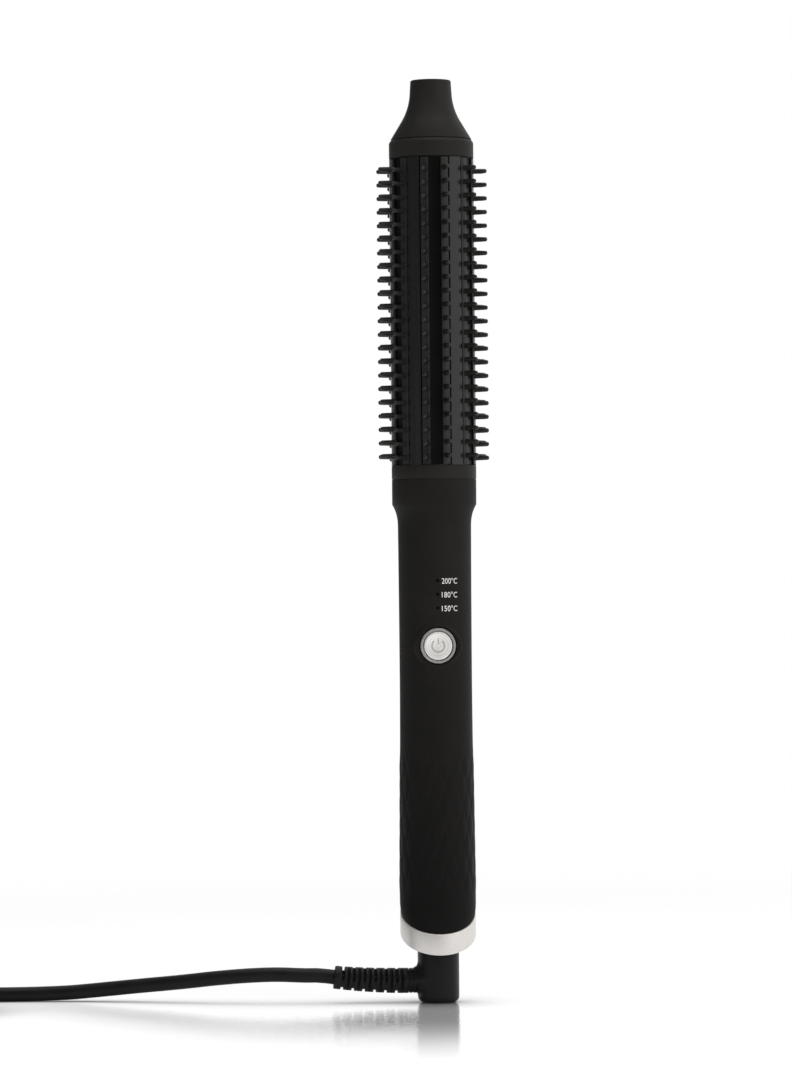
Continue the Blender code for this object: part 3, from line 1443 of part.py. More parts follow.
def hull(middles, radius):
    """The outline that wraps circles of one radius around the given middles."""
    points = []
    for x, y in middles:
        for k in range(TIE_FACETS):
            angle = math.tau * k / TIE_FACETS
            points.append((x + radius * math.cos(angle), y + radius * math.sin(angle)))
    return [points[k] for k in convex_hull_2d(points)]


def coil_ties(route):
    """Soft straps pulled around the bundle of turns, with their lowest side on the floor."""
    middle = Vector((*COIL_CENTRE, 0))
    up = Vector((0, 0, 1))
    fine = [here.lerp(there, k / 8) - middle for here, there in zip(route, route[1:]) for k in range(8)]
    for number, angle in enumerate(TIE_ANGLES, 1):
        outward = Vector((math.cos(angle), math.sin(angle), 0))
        across = outward.cross(up)
        held = [p for p in fine if abs(p.dot(across)) < TIE_WIDTH / 2 and p.dot(outward) > 0]
        middles = [(p.dot(outward), p.z) for p in held]
        inner = hull(middles, CORD_R + GAP)
        outer = hull(middles, CORD_R + GAP + TIE_THICKNESS)
        tie = extruded(f"coil_tie_{number}", [outer, inner], -TIE_WIDTH / 2, TIE_WIDTH / 2)
        turn = Matrix((outward, up, across)).transposed().to_4x4()
        tie.data.transform(Matrix.Translation(middle) @ turn)
        finish(tie, "coil_tie", swivel_axis)


def plug(entry):
    """A flat two-pin plug that lies on the coil, its nose towards the cord."""
    half = PLUG_WIDTH / 2
    nose = PLUG_NOSE_R
    front = -PLUG_LENGTH
    neck = front * PLUG_NECK_SHARE
    chest = front * PLUG_CHEST_SHARE
    neck_half = half * PLUG_NECK_WIDTH_SHARE
    front_half = half * PLUG_FRONT_WIDTH_SHARE
    outline = [
        (neck, -neck_half),
        (chest, -half),
        (front, -front_half),
        (front, front_half),
        (chest, half),
        (neck, neck_half),
        (0, nose),
        (0, -nose),
    ]
    thick = PLUG_THICKNESS / 2
    body = extruded("plug_body", [outline], -thick, thick)
    bevel = body.modifiers.new("edges", "BEVEL")
    bevel.width = PLUG_EDGE
    bevel.segments = 2
    bevel.limit_method = "ANGLE"
    bevel.angle_limit = SMOOTH_ANGLE
    bm = bmesh.new()
    root = (-2 * PLUG_EDGE, 0, 0)
    add_rod(bm, root, (PLUG_NOSE, 0, 0), PLUG_NOSE_R, SMALL_STEPS, PLUG_NOSE_END_R)
    join(body, from_bmesh("plug_nose", bm))
    seat = front + PLUG_PIN_SEAT
    end = front - PLUG_PIN_LENGTH
    rows = []
    for y in (-PLUG_PIN_SPREAD, PLUG_PIN_SPREAD):
        rows.append(((seat, y, 0), (front - OVERRUN, y, 0), PLUG_PIN_R + GAP))
    cut(body, rods("pin_seats", rows, PIN_STEPS))
    place = entry + Vector((-PLUG_NOSE - GAP, 0, 0))
    body = baked(body, Matrix.Translation(place))
    finish(body, "plug_body", swivel_axis)

    corners = [
        (0, -end, 0),
        (PLUG_PIN_R, -end, PLUG_PIN_EDGE),
        (PLUG_PIN_R, GAP - seat, 0),
        (0, GAP - seat, 0),
    ]
    for name, y in (("left", -PLUG_PIN_SPREAD), ("right", PLUG_PIN_SPREAD)):
        pin = turned(f"plug_pin_{name}", rounded(corners, 3), PIN_STEPS)
        pin.rotation_euler.y = math.radians(-90)
        pin.location = place + Vector((0, y, 0))
        finish(pin, "plug_pin", swivel_axis)


def cord():
    """The free run, the coil and the tail to the plug, each a tube that meets the next face to face."""
    coil = coil_route()
    start = relief_point(RELIEF_LENGTH + GAP, 0, 0)
    lead = relief_point(RELIEF_LENGTH + GAP + CORD_D, 0, 0)
    first_way = (coil[1] - coil[0]).normalized()
    join_point = coil[0] - first_way * GAP
    route = [start, lead, *(Vector(p) for p in CORD_ROUTE), join_point - first_way * CORD_D, join_point]
    run = smooth_route(route, CORD_STEP)
    finish(tube("cord_run", run, CORD_R), "cord", swivel_axis)
    finish(tube("cord_coil", coil, CORD_R, 1), "cord", swivel_axis)

    last_way = (coil[-1] - coil[-2]).normalized()
    leave = coil[-1] + last_way * GAP
    centre = Vector((*COIL_CENTRE, 0))
    entry = Vector((COIL_CENTRE[0] + PLUG_OFFSET[0], COIL_CENTRE[1] + PLUG_OFFSET[1], PLUG_Z))
    arrive = entry + Vector((CORD_D, 0, 0))
    route = [leave, leave + last_way * CORD_D, *(centre + Vector(p) for p in TAIL_ROUTE), arrive, entry]
    tail = smooth_route(route, CORD_STEP)
    finish(tube("cord_tail", tail, CORD_R), "cord", swivel_axis)

    whole = route_length(run) + route_length(coil) + route_length(tail)
    print(f"coil's least gap to itself {least_gap(coil, CORD_D):.5f} m, cord length {whole:.3f} m")
    coil_ties(coil)
    plug(entry)


barrel_tube()
comb_strips()
cool_tip()
end_cap()
tip_screw()
base_ring()
barrel_mount()
heater()
heater_wiring()
handle_shells()
handle_end()
power_button()
lamps()
circuit_board()
fasteners()
swivel_seat()
swivel_elbow()
strain_relief()
cord()
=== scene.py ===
# %% [markdown]
# # A hot brush, dressed for its portrait
#
# The solid model of the brush already exists: sixty rigid pieces with a turning cord swivel and a
# button that presses. This notebook gives it its looks. It loads those solids as a fixed frame,
# builds finer surfaces over the ones that show, and gives every piece a material that is worked
# out from the real one. Nothing is read from disk but the frame.

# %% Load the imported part
import math

import bmesh
import bpy
import numpy as np
from mathutils import Matrix, Vector
from mathutils.geometry import convex_hull_2d


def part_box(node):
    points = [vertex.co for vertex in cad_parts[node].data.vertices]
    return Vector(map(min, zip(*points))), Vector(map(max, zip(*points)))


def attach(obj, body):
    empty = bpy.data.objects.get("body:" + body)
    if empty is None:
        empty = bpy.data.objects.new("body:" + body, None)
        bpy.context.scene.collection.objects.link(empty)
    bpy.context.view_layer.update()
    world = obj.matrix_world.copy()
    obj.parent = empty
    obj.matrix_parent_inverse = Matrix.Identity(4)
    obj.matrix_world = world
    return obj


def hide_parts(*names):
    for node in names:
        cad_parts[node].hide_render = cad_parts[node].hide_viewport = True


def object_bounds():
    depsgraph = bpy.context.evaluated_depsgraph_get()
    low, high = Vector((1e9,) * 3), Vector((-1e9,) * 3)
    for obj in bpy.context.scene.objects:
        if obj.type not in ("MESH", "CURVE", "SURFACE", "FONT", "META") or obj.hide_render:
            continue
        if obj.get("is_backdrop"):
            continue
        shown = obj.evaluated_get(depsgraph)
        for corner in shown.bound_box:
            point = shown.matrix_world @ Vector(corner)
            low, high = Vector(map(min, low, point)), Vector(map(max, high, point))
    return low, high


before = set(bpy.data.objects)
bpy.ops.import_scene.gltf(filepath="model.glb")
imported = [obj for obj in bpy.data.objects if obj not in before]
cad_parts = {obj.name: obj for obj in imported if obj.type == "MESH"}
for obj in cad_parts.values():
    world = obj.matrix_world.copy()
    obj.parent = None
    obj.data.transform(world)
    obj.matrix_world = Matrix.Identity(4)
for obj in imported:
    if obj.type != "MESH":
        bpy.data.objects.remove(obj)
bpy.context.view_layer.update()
MM = 0.001


def in_scene(name, data):
    """A new object for this data, linked into the scene."""
    made = bpy.data.objects.new(name, data)
    bpy.context.scene.collection.objects.link(made)
    return made


# %% [markdown]
# ## The camera
#
# The brush was photographed from far away with a long lens, so its sides stay almost parallel.
# The distance follows from the barrel: it is 32 mm wide and measures 84 pixels. The camera stands
# at about half the height of the brush and a little to its left, because the button sits a hair
# to the right of the middle line. A turn of half a degree gives the slight lean in the picture.

# %% Camera
PIXEL = 0.381 * MM  # size of a pixel at the axis of the brush
FOCAL_PIXELS = 4700.0
FRAME_HEIGHT = 1080.0
CAMERA_HEIGHT = 0.1646
SIDE_STEP = math.radians(4.1)  # how far round to the left of the button the camera stands
AIM_LEFT, AIM_UP = 38.6, 30.0  # pixels from the picture's middle to the point it looks at
LEAN = math.radians(-0.516)

camera_data = bpy.data.cameras.new("portrait_lens")
camera_data.sensor_width = 36.0
camera_data.lens = 36.0 * FOCAL_PIXELS / FRAME_HEIGHT
camera_data.clip_start = 0.05
camera_data.clip_end = 30.0
camera = in_scene("portrait_camera", camera_data)
bpy.context.scene.camera = camera
distance = FOCAL_PIXELS * PIXEL
camera.location = (-distance * math.sin(SIDE_STEP), -distance * math.cos(SIDE_STEP), CAMERA_HEIGHT)
camera.rotation_euler = (
    Matrix.Rotation(math.atan(AIM_LEFT / FOCAL_PIXELS) - SIDE_STEP, 3, "Z")
    @ Matrix.Rotation(math.radians(90) + math.atan(AIM_UP / FOCAL_PIXELS), 3, "X")
    @ Matrix.Rotation(LEAN, 3, "Z")
).to_euler()
bpy.context.scene.view_settings.view_transform = "Standard"
print(f"camera {distance:.2f} m away, lens {camera_data.lens:.0f} mm")

# %% [markdown]
# ## Tools for materials
#
# Colours are written as the hex values that a screen shows, and one function turns them into the
# linear light values that the renderer needs. A second small function adds one node, with its
# settings and links, to a material. Real surfaces are never even: a pattern shifts their tone and
# their roughness together, and a grain makes the bump. The function for that serves every
# finish below.

# %% Colour and node helpers
def light(hex_colour):
    """A screen colour like "#1c1b1a" as linear light: c/12.92, or ((c + 0.055) / 1.055)**2.4."""
    screen = np.array([int(hex_colour[k : k + 2], 16) / 255 for k in (1, 3, 5)])
    linear = np.where(screen <= 0.04045, screen / 12.92, ((screen + 0.055) / 1.055) ** 2.4)
    return (*linear.tolist(), 1.0)


def add(tree, kind, inputs=(), **settings):
    """Adds one shader node. Settings are its options; inputs pair sockets with values or links."""
    made = tree.nodes.new("ShaderNode" + kind)
    for key, value in settings.items():
        setattr(made, key, value)
    for key, value in dict(inputs).items():
        if isinstance(value, bpy.types.NodeSocket):
            tree.links.new(value, made.inputs[key])
        else:
            made.inputs[key].default_value = value
    return made


def new_material(name, colour, roughness, metallic=0.0, **shader_values):
    """A material, its tree, its shader with the constants set, and the place in the piece."""
    made = bpy.data.materials.new(name)
    made.use_nodes = True
    tree = made.node_tree
    shader = tree.nodes["Principled BSDF"]
    shader.inputs["Base Color"].default_value = light(colour)
    shader.inputs["Roughness"].default_value = roughness
    shader.inputs["Metallic"].default_value = metallic
    for key, value in shader_values.items():
        shader.inputs[key.replace("_", " ")].default_value = value
    return made, tree, shader, add(tree, "TexCoord").outputs["Object"]


def per_metre(size_mm):
    """Noise scale for features of about this size in millimetres."""
    return 1000.0 / size_mm


def wave_scale(spacing_mm):
    """Wave scale for lines this far apart in mm: a scale of 1 turns 20 radians a metre."""
    return math.tau / 20 / (spacing_mm * MM)


WHITE = (1.0, 1.0, 1.0, 1.0)
RANGE = ("Value", "From Min", "From Max", "To Min", "To Max")


def live(tree, shader, pattern, tones, grain, depth_mm, strength, at=(0.0, 1.0), rough=None):
    """A pattern moves tone and roughness between two values each, and a grain makes the bump.

    tones are two hex colours, reached where the pattern has the two values in at. rough pairs two
    values of the pattern with two roughnesses, or is left out where the roughness stays even.
    """
    tone = add(tree, "ValToRGB", {"Fac": pattern})
    for element, position, colour in zip(tone.color_ramp.elements, at, tones):
        element.position = position
        element.color = light(colour)
    tree.links.new(tone.outputs["Color"], shader.inputs["Base Color"])
    if rough:
        spread = add(tree, "MapRange", zip(RANGE, (pattern, *rough)))
        tree.links.new(spread.outputs["Result"], shader.inputs["Roughness"])
    bump = add(tree, "Bump", {"Height": grain, "Distance": depth_mm * MM, "Strength": strength})
    tree.links.new(bump.outputs["Normal"], shader.inputs["Normal"])


print("material helpers ready")

# %% [markdown]
# ## Moulded and coated plastics
#
# Most of what shows is black, yet no two blacks are alike. A handle like this is moulded ABS
# sprayed with soft-touch lacquer, which is dull and slightly velvety. The tip is a bare
# heat-resistant nylon with the fine grain of a spark-eroded mould. The same recipe gives them
# all: a fine grain for the bump, a broad cloudiness for the roughness and a narrow range of tone.

# %% Plastics
def plastic(name, dark, pale, roughness, grain_mm, depth_mm, cloud_mm=14.0, **shader_values):
    """A moulded plastic: fine grain as bump, broad clouds in roughness and tone."""
    made, tree, shader, where = new_material(name, dark, roughness, **shader_values)
    grain = add(tree, "TexNoise", {"Vector": where, "Scale": per_metre(grain_mm), "Detail": 3.0})
    clouds = add(tree, "TexNoise", {"Vector": where, "Scale": per_metre(cloud_mm), "Detail": 4.0})
    live(
        tree, shader, clouds.outputs["Fac"], (dark, pale), grain.outputs["Fac"], depth_mm, 0.6,
        at=(0.35, 0.68), rough=(0.3, 0.7, roughness - 0.04, roughness + 0.05),
    )
    return made


# Soft-touch lacquer on ABS: dull, warm black, with a velvety lift at its edges
SOFT_TOUCH = plastic(
    "soft_touch_lacquer_on_abs", "#1b1a19", "#201e1d", 0.58, 0.35, 0.03, Specular_IOR_Level=0.09
)
# Painted shade: the handle is painted darker towards the foot, in place of the light that falls
# off low down. The tone is scaled by a share that grows with the height
tree = SOFT_TOUCH.node_tree
shader = tree.nodes["Principled BSDF"]
where = add(tree, "TexCoord").outputs["Object"]
place = add(tree, "SeparateXYZ", {"Vector": where})
FOOT_SHADE, FOOT_SHADE_FROM, FOOT_SHADE_TO = 0.45, 0.04, 0.15  # share at the foot, and its heights in metres
grip = add(
    tree, "MapRange", zip(RANGE, (place.outputs["Z"], FOOT_SHADE_FROM, FOOT_SHADE_TO, FOOT_SHADE, 1.0))
)
tone = shader.inputs["Base Color"].links[0].from_socket
darker = add(
    tree, "VectorMath", {"Vector": tone, "Scale": grip.outputs["Result"]}, operation="SCALE"
)
tree.links.new(darker.outputs["Vector"], shader.inputs["Base Color"])
# Glass-filled nylon from a spark-eroded mould: grey-black and a little coarser
TIP_NYLON = plastic(
    "heat_resistant_nylon_moulded", "#201f1d", "#252422", 0.50, 0.45, 0.04, Specular_IOR_Level=0.11
)
# Comb strips: smooth moulded nylon, so that small highlights sit on each rail and pin
COMB_NYLON = plastic(
    "comb_nylon_moulded", "#1c1b1a", "#242322", 0.34, 0.6, 0.02, Specular_IOR_Level=0.3
)
# The sunk window between a strip's rails is painted almost black: painted shade of the recess.
# On the strips at the sides it still mirrors the room at a low angle
SHADED_WINDOW_NYLON = plastic(
    "comb_nylon_window_painted_shade", "#030303", "#060605", 0.34, 0.6, 0.02, Specular_IOR_Level=0.11
)
# Elbow: polished ABS, the shiniest of the black mouldings, with one long soft highlight
ELBOW_ABS = plastic(
    "swivel_abs_polished", "#131313", "#171717", 0.34, 0.8, 0.015, Specular_IOR_Level=0.14
)
# Cord: soft PVC with a faint drag from the extruder, so its highlight is a broken line
CORD_PVC = plastic(
    "cord_pvc_extruded", "#141313", "#191818", 0.42, 0.9, 0.02, 9.0,
    Specular_IOR_Level=0.16,
)
# Strain relief: the same PVC, moulded, a shade darker and with a clearer edge light on each rib
RELIEF_PVC = plastic(
    "strain_relief_pvc_moulded", "#111111", "#161615", 0.40, 0.5, 0.03, Specular_IOR_Level=0.18
)
# Plug: harder PVC from a lightly grained mould, so a broad and dim highlight
PLUG_PVC = plastic(
    "plug_pvc_moulded", "#141414", "#191918", 0.44, 0.45, 0.04, Specular_IOR_Level=0.16
)
# End plate inside the silver ring: plain moulded ABS, a quiet dark grey
DARK_ABS = plastic(
    "dark_abs_moulded", "#131313", "#181817", 0.48, 0.5, 0.03, Specular_IOR_Level=0.14
)
print("nine black plastics made")

# %% [markdown]
# ## Metals
#
# The ring at the end of the handle is aluminium that was bead blasted and anodised, so it is pale
# and satin. The button was spun on a lathe: its grooves run in circles and turn the light into
# bright wedges. The barrel is extruded aluminium under a dark, glossy ceramic coat, with faint
# lines along the way it was drawn. One recipe makes the metals: a grain, stretched along the way
# the piece was worked, moves the tone, the roughness and the bump together.

# %% Metals
def metal(name, dark, pale, roughness, grain_mm, depth_mm, stretch=(1, 1, 1), **shader_values):
    """A metal: fine grain, stretched along the way it was worked, in tone, roughness and bump."""
    made, tree, shader, where = new_material(name, pale, roughness, 1.0, **shader_values)
    drawn = add(tree, "Mapping", {"Vector": where, "Scale": stretch}).outputs["Vector"]
    grain = add(
        tree, "TexNoise", {"Vector": drawn, "Scale": per_metre(grain_mm), "Detail": 4.0}
    ).outputs["Fac"]
    live(
        tree, shader, grain, (dark, pale), grain, depth_mm, 0.5,
        at=(0.3, 0.7), rough=(0.3, 0.7, roughness - 0.05, roughness + 0.05),
    )
    return made


# Bead-blasted, clear anodised aluminium: even, pale and satin. The anodised layer scatters part
# of the light as pale paint does, so Metallic stays under 1 and the ring never looks like chrome
RING_ALUMINIUM = metal(
    "anodised_aluminium_bead_blasted", "#d8d4d0", "#e2dfdb", 0.38, 0.5, 0.01, Metallic=0.6
)
# Bezel: the same alloy, dyed grey, so that it frames the button as a darker line
BEZEL_ALUMINIUM = metal(
    "anodised_aluminium_grey", "#92908d", "#a09d9a", 0.36, 0.5, 0.01, Metallic=0.5
)
# Uncoated extruded aluminium of the heater: dull silver with fine lines along the pull
BARE_ALUMINIUM = metal("aluminium_extruded", "#b9babb", "#cfd0d1", 0.38, 0.8, 0.02, (1, 1, 0.05))
# Cold-headed, zinc-plated steel: a cool and even grey shine
SCREW_STEEL = metal("zinc_plated_steel_cold_headed", "#9fa1a3", "#bcbec0", 0.32, 0.4, 0.01)
# Turned brass under nickel: the warm, bright white metal of plug pins
PIN_NICKEL = metal("nickel_plated_brass_turned", "#b8b4a9", "#cdc9bf", 0.24, 0.4, 0.005)
# Turned brass of the swivel's contacts: plain yellow metal with a clear shine
CONTACT_BRASS = metal("brass_turned", "#b08d45", "#c9a75c", 0.30, 0.4, 0.01)
# Rolled phosphor bronze of the springs: redder and browner than brass
SPRING_BRONZE = metal("phosphor_bronze_rolled", "#a8764a", "#bd8a5c", 0.30, 0.5, 0.01)

# Ceramic coat on the extruded barrel: glossy dark glass over a drawn surface, whose lines are 50
# times longer than wide
BARREL_COAT, tree, shader, where = new_material(
    "ceramic_coated_aluminium_extruded", "#0e0e0e", 0.22, 0.0, Specular_IOR_Level=0.55
)
drawn = add(tree, "Mapping", {"Vector": where, "Scale": (1.0, 1.0, 0.02)})
lines = add(
    tree, "TexNoise",
    {"Vector": drawn.outputs["Vector"], "Scale": per_metre(0.7), "Detail": 3.0},
).outputs["Fac"]
live(tree, shader, lines, ("#0b0b0b", "#131212"), lines, 0.02, 0.4, rough=(0.0, 1.0, 0.18, 0.32))
print("seven metals and the barrel's coat made")

# %% [markdown]
# ## The spun button
#
# On a lathe the tool leaves rings around the centre. Light then spreads across the rings, so the
# face shows two bright wedges instead of one spot. Real rings are finer than a pixel and would not
# show, so they are drawn about a millimetre apart, and the shader's anisotropy does the rest.

# %% Spun aluminium
button_low, button_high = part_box("power_button")
BUTTON_Z = (button_low.z + button_high.z) / 2
# Spun, clear anodised aluminium: the brightest piece, with light fanned out across its rings
SPUN_ALUMINIUM, tree, shader, where = new_material(
    "aluminium_spun_and_anodised", "#f0eeeb", 0.30, 0.5, Anisotropic=0.8
)
centred = add(tree, "Mapping", {"Vector": where, "Location": (0.0, 0.0, -BUTTON_Z)})
rings = add(
    tree, "TexWave",
    {
        "Vector": centred.outputs["Vector"], "Scale": wave_scale(0.94),
        "Distortion": 0.3, "Detail": 2.0,
    },
    wave_type="RINGS", rings_direction="Y",
).outputs["Fac"]
live(tree, shader, rings, ("#e2dfdc", "#faf8f5"), rings, 0.01, 0.3)
round_way = add(tree, "Tangent", direction_type="RADIAL", axis="Y")
tree.links.new(round_way.outputs["Tangent"], shader.inputs["Tangent"])
print(f"button centre at {BUTTON_Z * 1000:.1f} mm")

# %% [markdown]
# ## What nobody sees until it is opened
#
# The heater, the board and the contacts are inside the housings. They keep the shapes that the
# solid model gives them, and still get the material that each really has, so that the part looks
# right when it is taken apart: grey ceramic stones, amber film, a green lacquered board and
# coloured wires. Each line is one finish of the recipe for plastics, and says what it gives.

# %% Materials of the inside
# Sintered ceramic: dead matt and grainy, as fired stone is
CERAMIC = plastic("heating_ceramic_sintered", "#55504a", "#6a645c", 0.85, 0.5, 0.08, 4.0)
# Glass-filled resin of the barrel's mount: dull tan, as undyed heat-proof mouldings are
MOUNT_RESIN = plastic("mount_resin_moulded", "#a89f8c", "#b8af9c", 0.60, 0.6, 0.04)
# Undyed nylon of the swivel's bush: milky cream with a waxy gloss
NATURAL_NYLON = plastic("natural_nylon_moulded", "#cfcabb", "#ddd8ca", 0.50, 0.6, 0.03)
# Polyimide film wound round the heater: amber, tight and shiny
AMBER_FILM = plastic("polyimide_film_wound", "#a8641c", "#b8742a", 0.25, 0.8, 0.01)
# Epoxy-dipped sensor bead: brick red, with the gloss of a dried drop
SENSOR_RESIN = plastic("sensor_epoxy_dipped", "#7e2c1c", "#8f3826", 0.28, 0.7, 0.02)
# Glass braid on the heater's leads: off-white and fibrous, without a highlight
WHITE_WIRE = plastic("glass_braid_white", "#c9c7bf", "#dbd9d2", 0.70, 0.3, 0.08, 2.0)
# The sensor's lead: a yellow silicone skin with a soft gloss
YELLOW_WIRE = plastic("insulation_yellow", "#c2b236", "#cfc04a", 0.50, 0.5, 0.02)
# Supply leads in the mains colours: smooth PVC skins with a narrow gloss
BLUE_WIRE = plastic("insulation_blue", "#23408c", "#2c4b9c", 0.45, 0.5, 0.02)
BROWN_WIRE = plastic("insulation_brown", "#5c3620", "#68402a", 0.45, 0.5, 0.02)
# Phosphor resin over the three lamps: pale yellow and smooth
LAMP_STRIP = plastic("lamp_strip_phosphor", "#d8d0a0", "#e6dfb4", 0.35, 0.5, 0.01)
# Glass-epoxy board under solder lacquer: deep green with a wet gloss
BOARD_GREEN = plastic("board_epoxy_lacquered", "#14532c", "#1b6236", 0.35, 0.4, 0.03)
# The film capacitor's moulded box: an opaque, slightly glossy yellow
CAPACITOR_FOIL = plastic("capacitor_box_yellow", "#c79a1c", "#d3a82c", 0.40, 0.6, 0.02)
# Moulded epoxy of chips, switch and contact holder: grey-black with a very fine grain
CHIP_EPOXY = plastic("component_epoxy_moulded", "#161617", "#1d1d1e", 0.55, 0.25, 0.03)
# Smoked light pipe: its pins end in the handle as three near-black windows
SMOKED_PIPE = plastic(
    "light_pipe_acrylic_smoked", "#030303", "#050505", 0.3, 1.5, 0.005, Specular_IOR_Level=0.1
)

FINISHES = [
    (SCREW_STEEL, "tip_screw board_screw closing_screw_lower closing_screw_upper"),
    (SCREW_STEEL, "thermal_fuse retaining_clip"),
    (MOUNT_RESIN, "barrel_mount"),
    (BARE_ALUMINIUM, "heat_spreader_front heat_spreader_rear electrode_front electrode_rear"),
    (AMBER_FILM, "insulating_sleeve"),
    (CERAMIC, "ceramic_stone_1 ceramic_stone_2"),
    (SENSOR_RESIN, "thermistor"),
    (WHITE_WIRE, "heater_lead_live heater_lead_neutral"),
    (YELLOW_WIRE, "sensor_lead"),
    (CHIP_EPOXY, "push_switch triac controller_chip contact_holder"),
    (LAMP_STRIP, "lamp_strip"),
    (SMOKED_PIPE, "light_pipe"),
    (BOARD_GREEN, "circuit_board"),
    (CAPACITOR_FOIL, "capacitor"),
    (NATURAL_NYLON, "swivel_bush"),
    (SPRING_BRONZE, "pin_spring sleeve_spring"),
    (BROWN_WIRE, "supply_lead_live elbow_cores"),
    (BLUE_WIRE, "supply_lead_neutral"),
    (CONTACT_BRASS, "contact_pin contact_sleeve"),
    (PIN_NICKEL, "plug_pin_left plug_pin_right"),
    (TIP_NYLON, "cool_tip end_cap base_ring"),
    (BARREL_COAT, "barrel_tube"),
    (SOFT_TOUCH, "handle_front_shell handle_rear_shell"),
    (RING_ALUMINIUM, "end_ring"),
    (DARK_ABS, "end_plate"),
    (BEZEL_ALUMINIUM, "button_bezel"),
    (SPUN_ALUMINIUM, "power_button"),
    (ELBOW_ABS, "swivel_elbow"),
    (RELIEF_PVC, "strain_relief"),
    (PLUG_PVC, "plug_body"),
    (CORD_PVC, "cord_run cord_coil cord_tail"),
    (COMB_NYLON, " ".join(f"comb_strip_{k}" for k in range(1, 7))),
]


def dress(name, finish):
    """A solid of the frame gets this finish and no other."""
    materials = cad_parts[name].data.materials
    materials.clear()
    materials.append(finish)


for finish, names in FINISHES:
    for name in names.split():
        dress(name, finish)
print(f"{sum(len(names.split()) for _, names in FINISHES)} solids have their own material")

# %% [markdown]
# ## Surfaces from grids
#
# Every new piece is a grid of points that a formula places, joined by four-sided faces. A turned
# piece sends its profile round an axis; a drawn piece carries its profile along a path. One
# function builds the faces, and one makes the object: it welds the poles, turns the faces
# outward, and hangs the piece on the body that carries it.

# %% Grid helpers
def grid_faces(rows, columns, wrap_rows=False, wrap_columns=False):
    """Quads of a grid: each joins a point with its right, upper right and upper neighbours."""
    i, j = np.meshgrid(
        np.arange(rows if wrap_rows else rows - 1),
        np.arange(columns if wrap_columns else columns - 1),
        indexing="ij",
    )
    right = (j + 1) % columns
    above = (i + 1) % rows
    corners = [i * columns + j, i * columns + right, above * columns + right, above * columns + j]
    return np.stack(corners, axis=-1).reshape(-1, 4)


def skin(points, wrap_rows=False, wrap_columns=False, caps=False):
    """One skin over a grid shaped (rows, columns, 3), its faces outward and its ends capped."""
    rows, columns, _ = points.shape
    flat = points.reshape(-1, 3)
    faces = grid_faces(rows, columns, wrap_rows, wrap_columns)
    centred = flat - flat.mean(axis=0)
    a, b, c, d = (centred[faces[:, k]] for k in range(4))
    volume = (a * (np.cross(b, c) + np.cross(c, d))).sum()
    lists = (faces if volume > 0 else faces[:, ::-1]).tolist()
    if caps:
        first = list(range(columns))
        last = list(range((rows - 1) * columns, rows * columns))
        lists += [first[::-1], last] if volume > 0 else [first, last[::-1]]
    return flat, lists


def joined(skins):
    """Several skins as one: each one's faces are counted on from the points before it."""
    counts = np.cumsum([0] + [len(flat) for flat, _ in skins])
    faces = [
        [k + start for k in face] for start, (_, lists) in zip(counts, skins) for face in lists
    ]
    return np.concatenate([flat for flat, _ in skins]), faces


def welded(name, made):
    """The mesh of a skin, with points less than half a micrometre apart merged: poles close."""
    mesh = bpy.data.meshes.new(name)
    mesh.from_pydata(made[0].tolist(), [], made[1])
    bm = bmesh.new()
    bm.from_mesh(mesh)
    bmesh.ops.remove_doubles(bm, verts=bm.verts, dist=0.0005 * MM)
    bm.to_mesh(mesh)
    bm.free()
    return mesh


def smoothed(mesh, sharp=32.0):
    """Smooth shading that keeps the edges over this angle in degrees crisp."""
    mesh.shade_smooth()
    mesh.set_sharp_from_angle(angle=math.radians(sharp))


def piece(name, made, finish, body, stands_for, sharp=32.0):
    """The object of a skin, with its finish, hung on the body that carries it."""
    mesh = welded(name, made)
    smoothed(mesh, sharp)
    mesh.materials.append(finish)
    obj = in_scene(name, mesh)
    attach(obj, body)
    if stands_for:
        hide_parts(*stands_for)
    print(f"{name}: {len(mesh.polygons)} faces")
    return obj


def turned(profile, steps=144, closed=False):
    """A profile sent round the Z axis: x = r sin a, y = -r cos a, for a full turn of a."""
    profile = np.asarray(profile, float) * MM
    a = np.linspace(0, math.tau, steps, endpoint=False)
    r, h = profile[:, :1], profile[:, 1:]
    points = np.stack([r * np.sin(a), -r * np.cos(a), h + 0 * a], axis=-1)
    return skin(points, wrap_rows=closed, wrap_columns=True)


def rounded(corners, steps=5):
    """A profile in mm, with each (x, y, fillet) corner rounded by an arc of that radius."""
    points = []
    for k, (x, y, fillet) in enumerate(corners):
        here = np.array([x, y])
        if not fillet:
            points.append(here)
            continue
        back = np.array(corners[k - 1][:2]) - here
        on = np.array(corners[(k + 1) % len(corners)][:2]) - here
        back /= np.linalg.norm(back)
        on /= np.linalg.norm(on)
        half = math.acos(np.clip(back @ on, -1, 1)) / 2
        middle = here + (back + on) / np.linalg.norm(back + on) * fillet / math.sin(half)
        first = here + back * fillet / math.tan(half) - middle
        last = here + on * fillet / math.tan(half) - middle
        sweep = math.atan2(first[0] * last[1] - first[1] * last[0], first @ last)
        turn = np.linspace(0, sweep, steps + 1)
        cosine, sine = np.cos(turn), np.sin(turn)
        arc = [first[0] * cosine - first[1] * sine, first[0] * sine + first[1] * cosine]
        points += list(middle + np.stack(arc, axis=-1))
    return np.array(points)


def unit(vectors):
    """Each vector, made one long."""
    return vectors / np.linalg.norm(vectors, axis=1, keepdims=True)


def faced(made, height_mm):
    """A turned skin laid to face the front at a height: its axis then runs along -Y."""
    flat, faces = made
    turned_round = np.stack([flat[:, 0], -flat[:, 2], height_mm * MM + flat[:, 1]], axis=-1)
    return turned_round, faces


print("grid helpers ready")

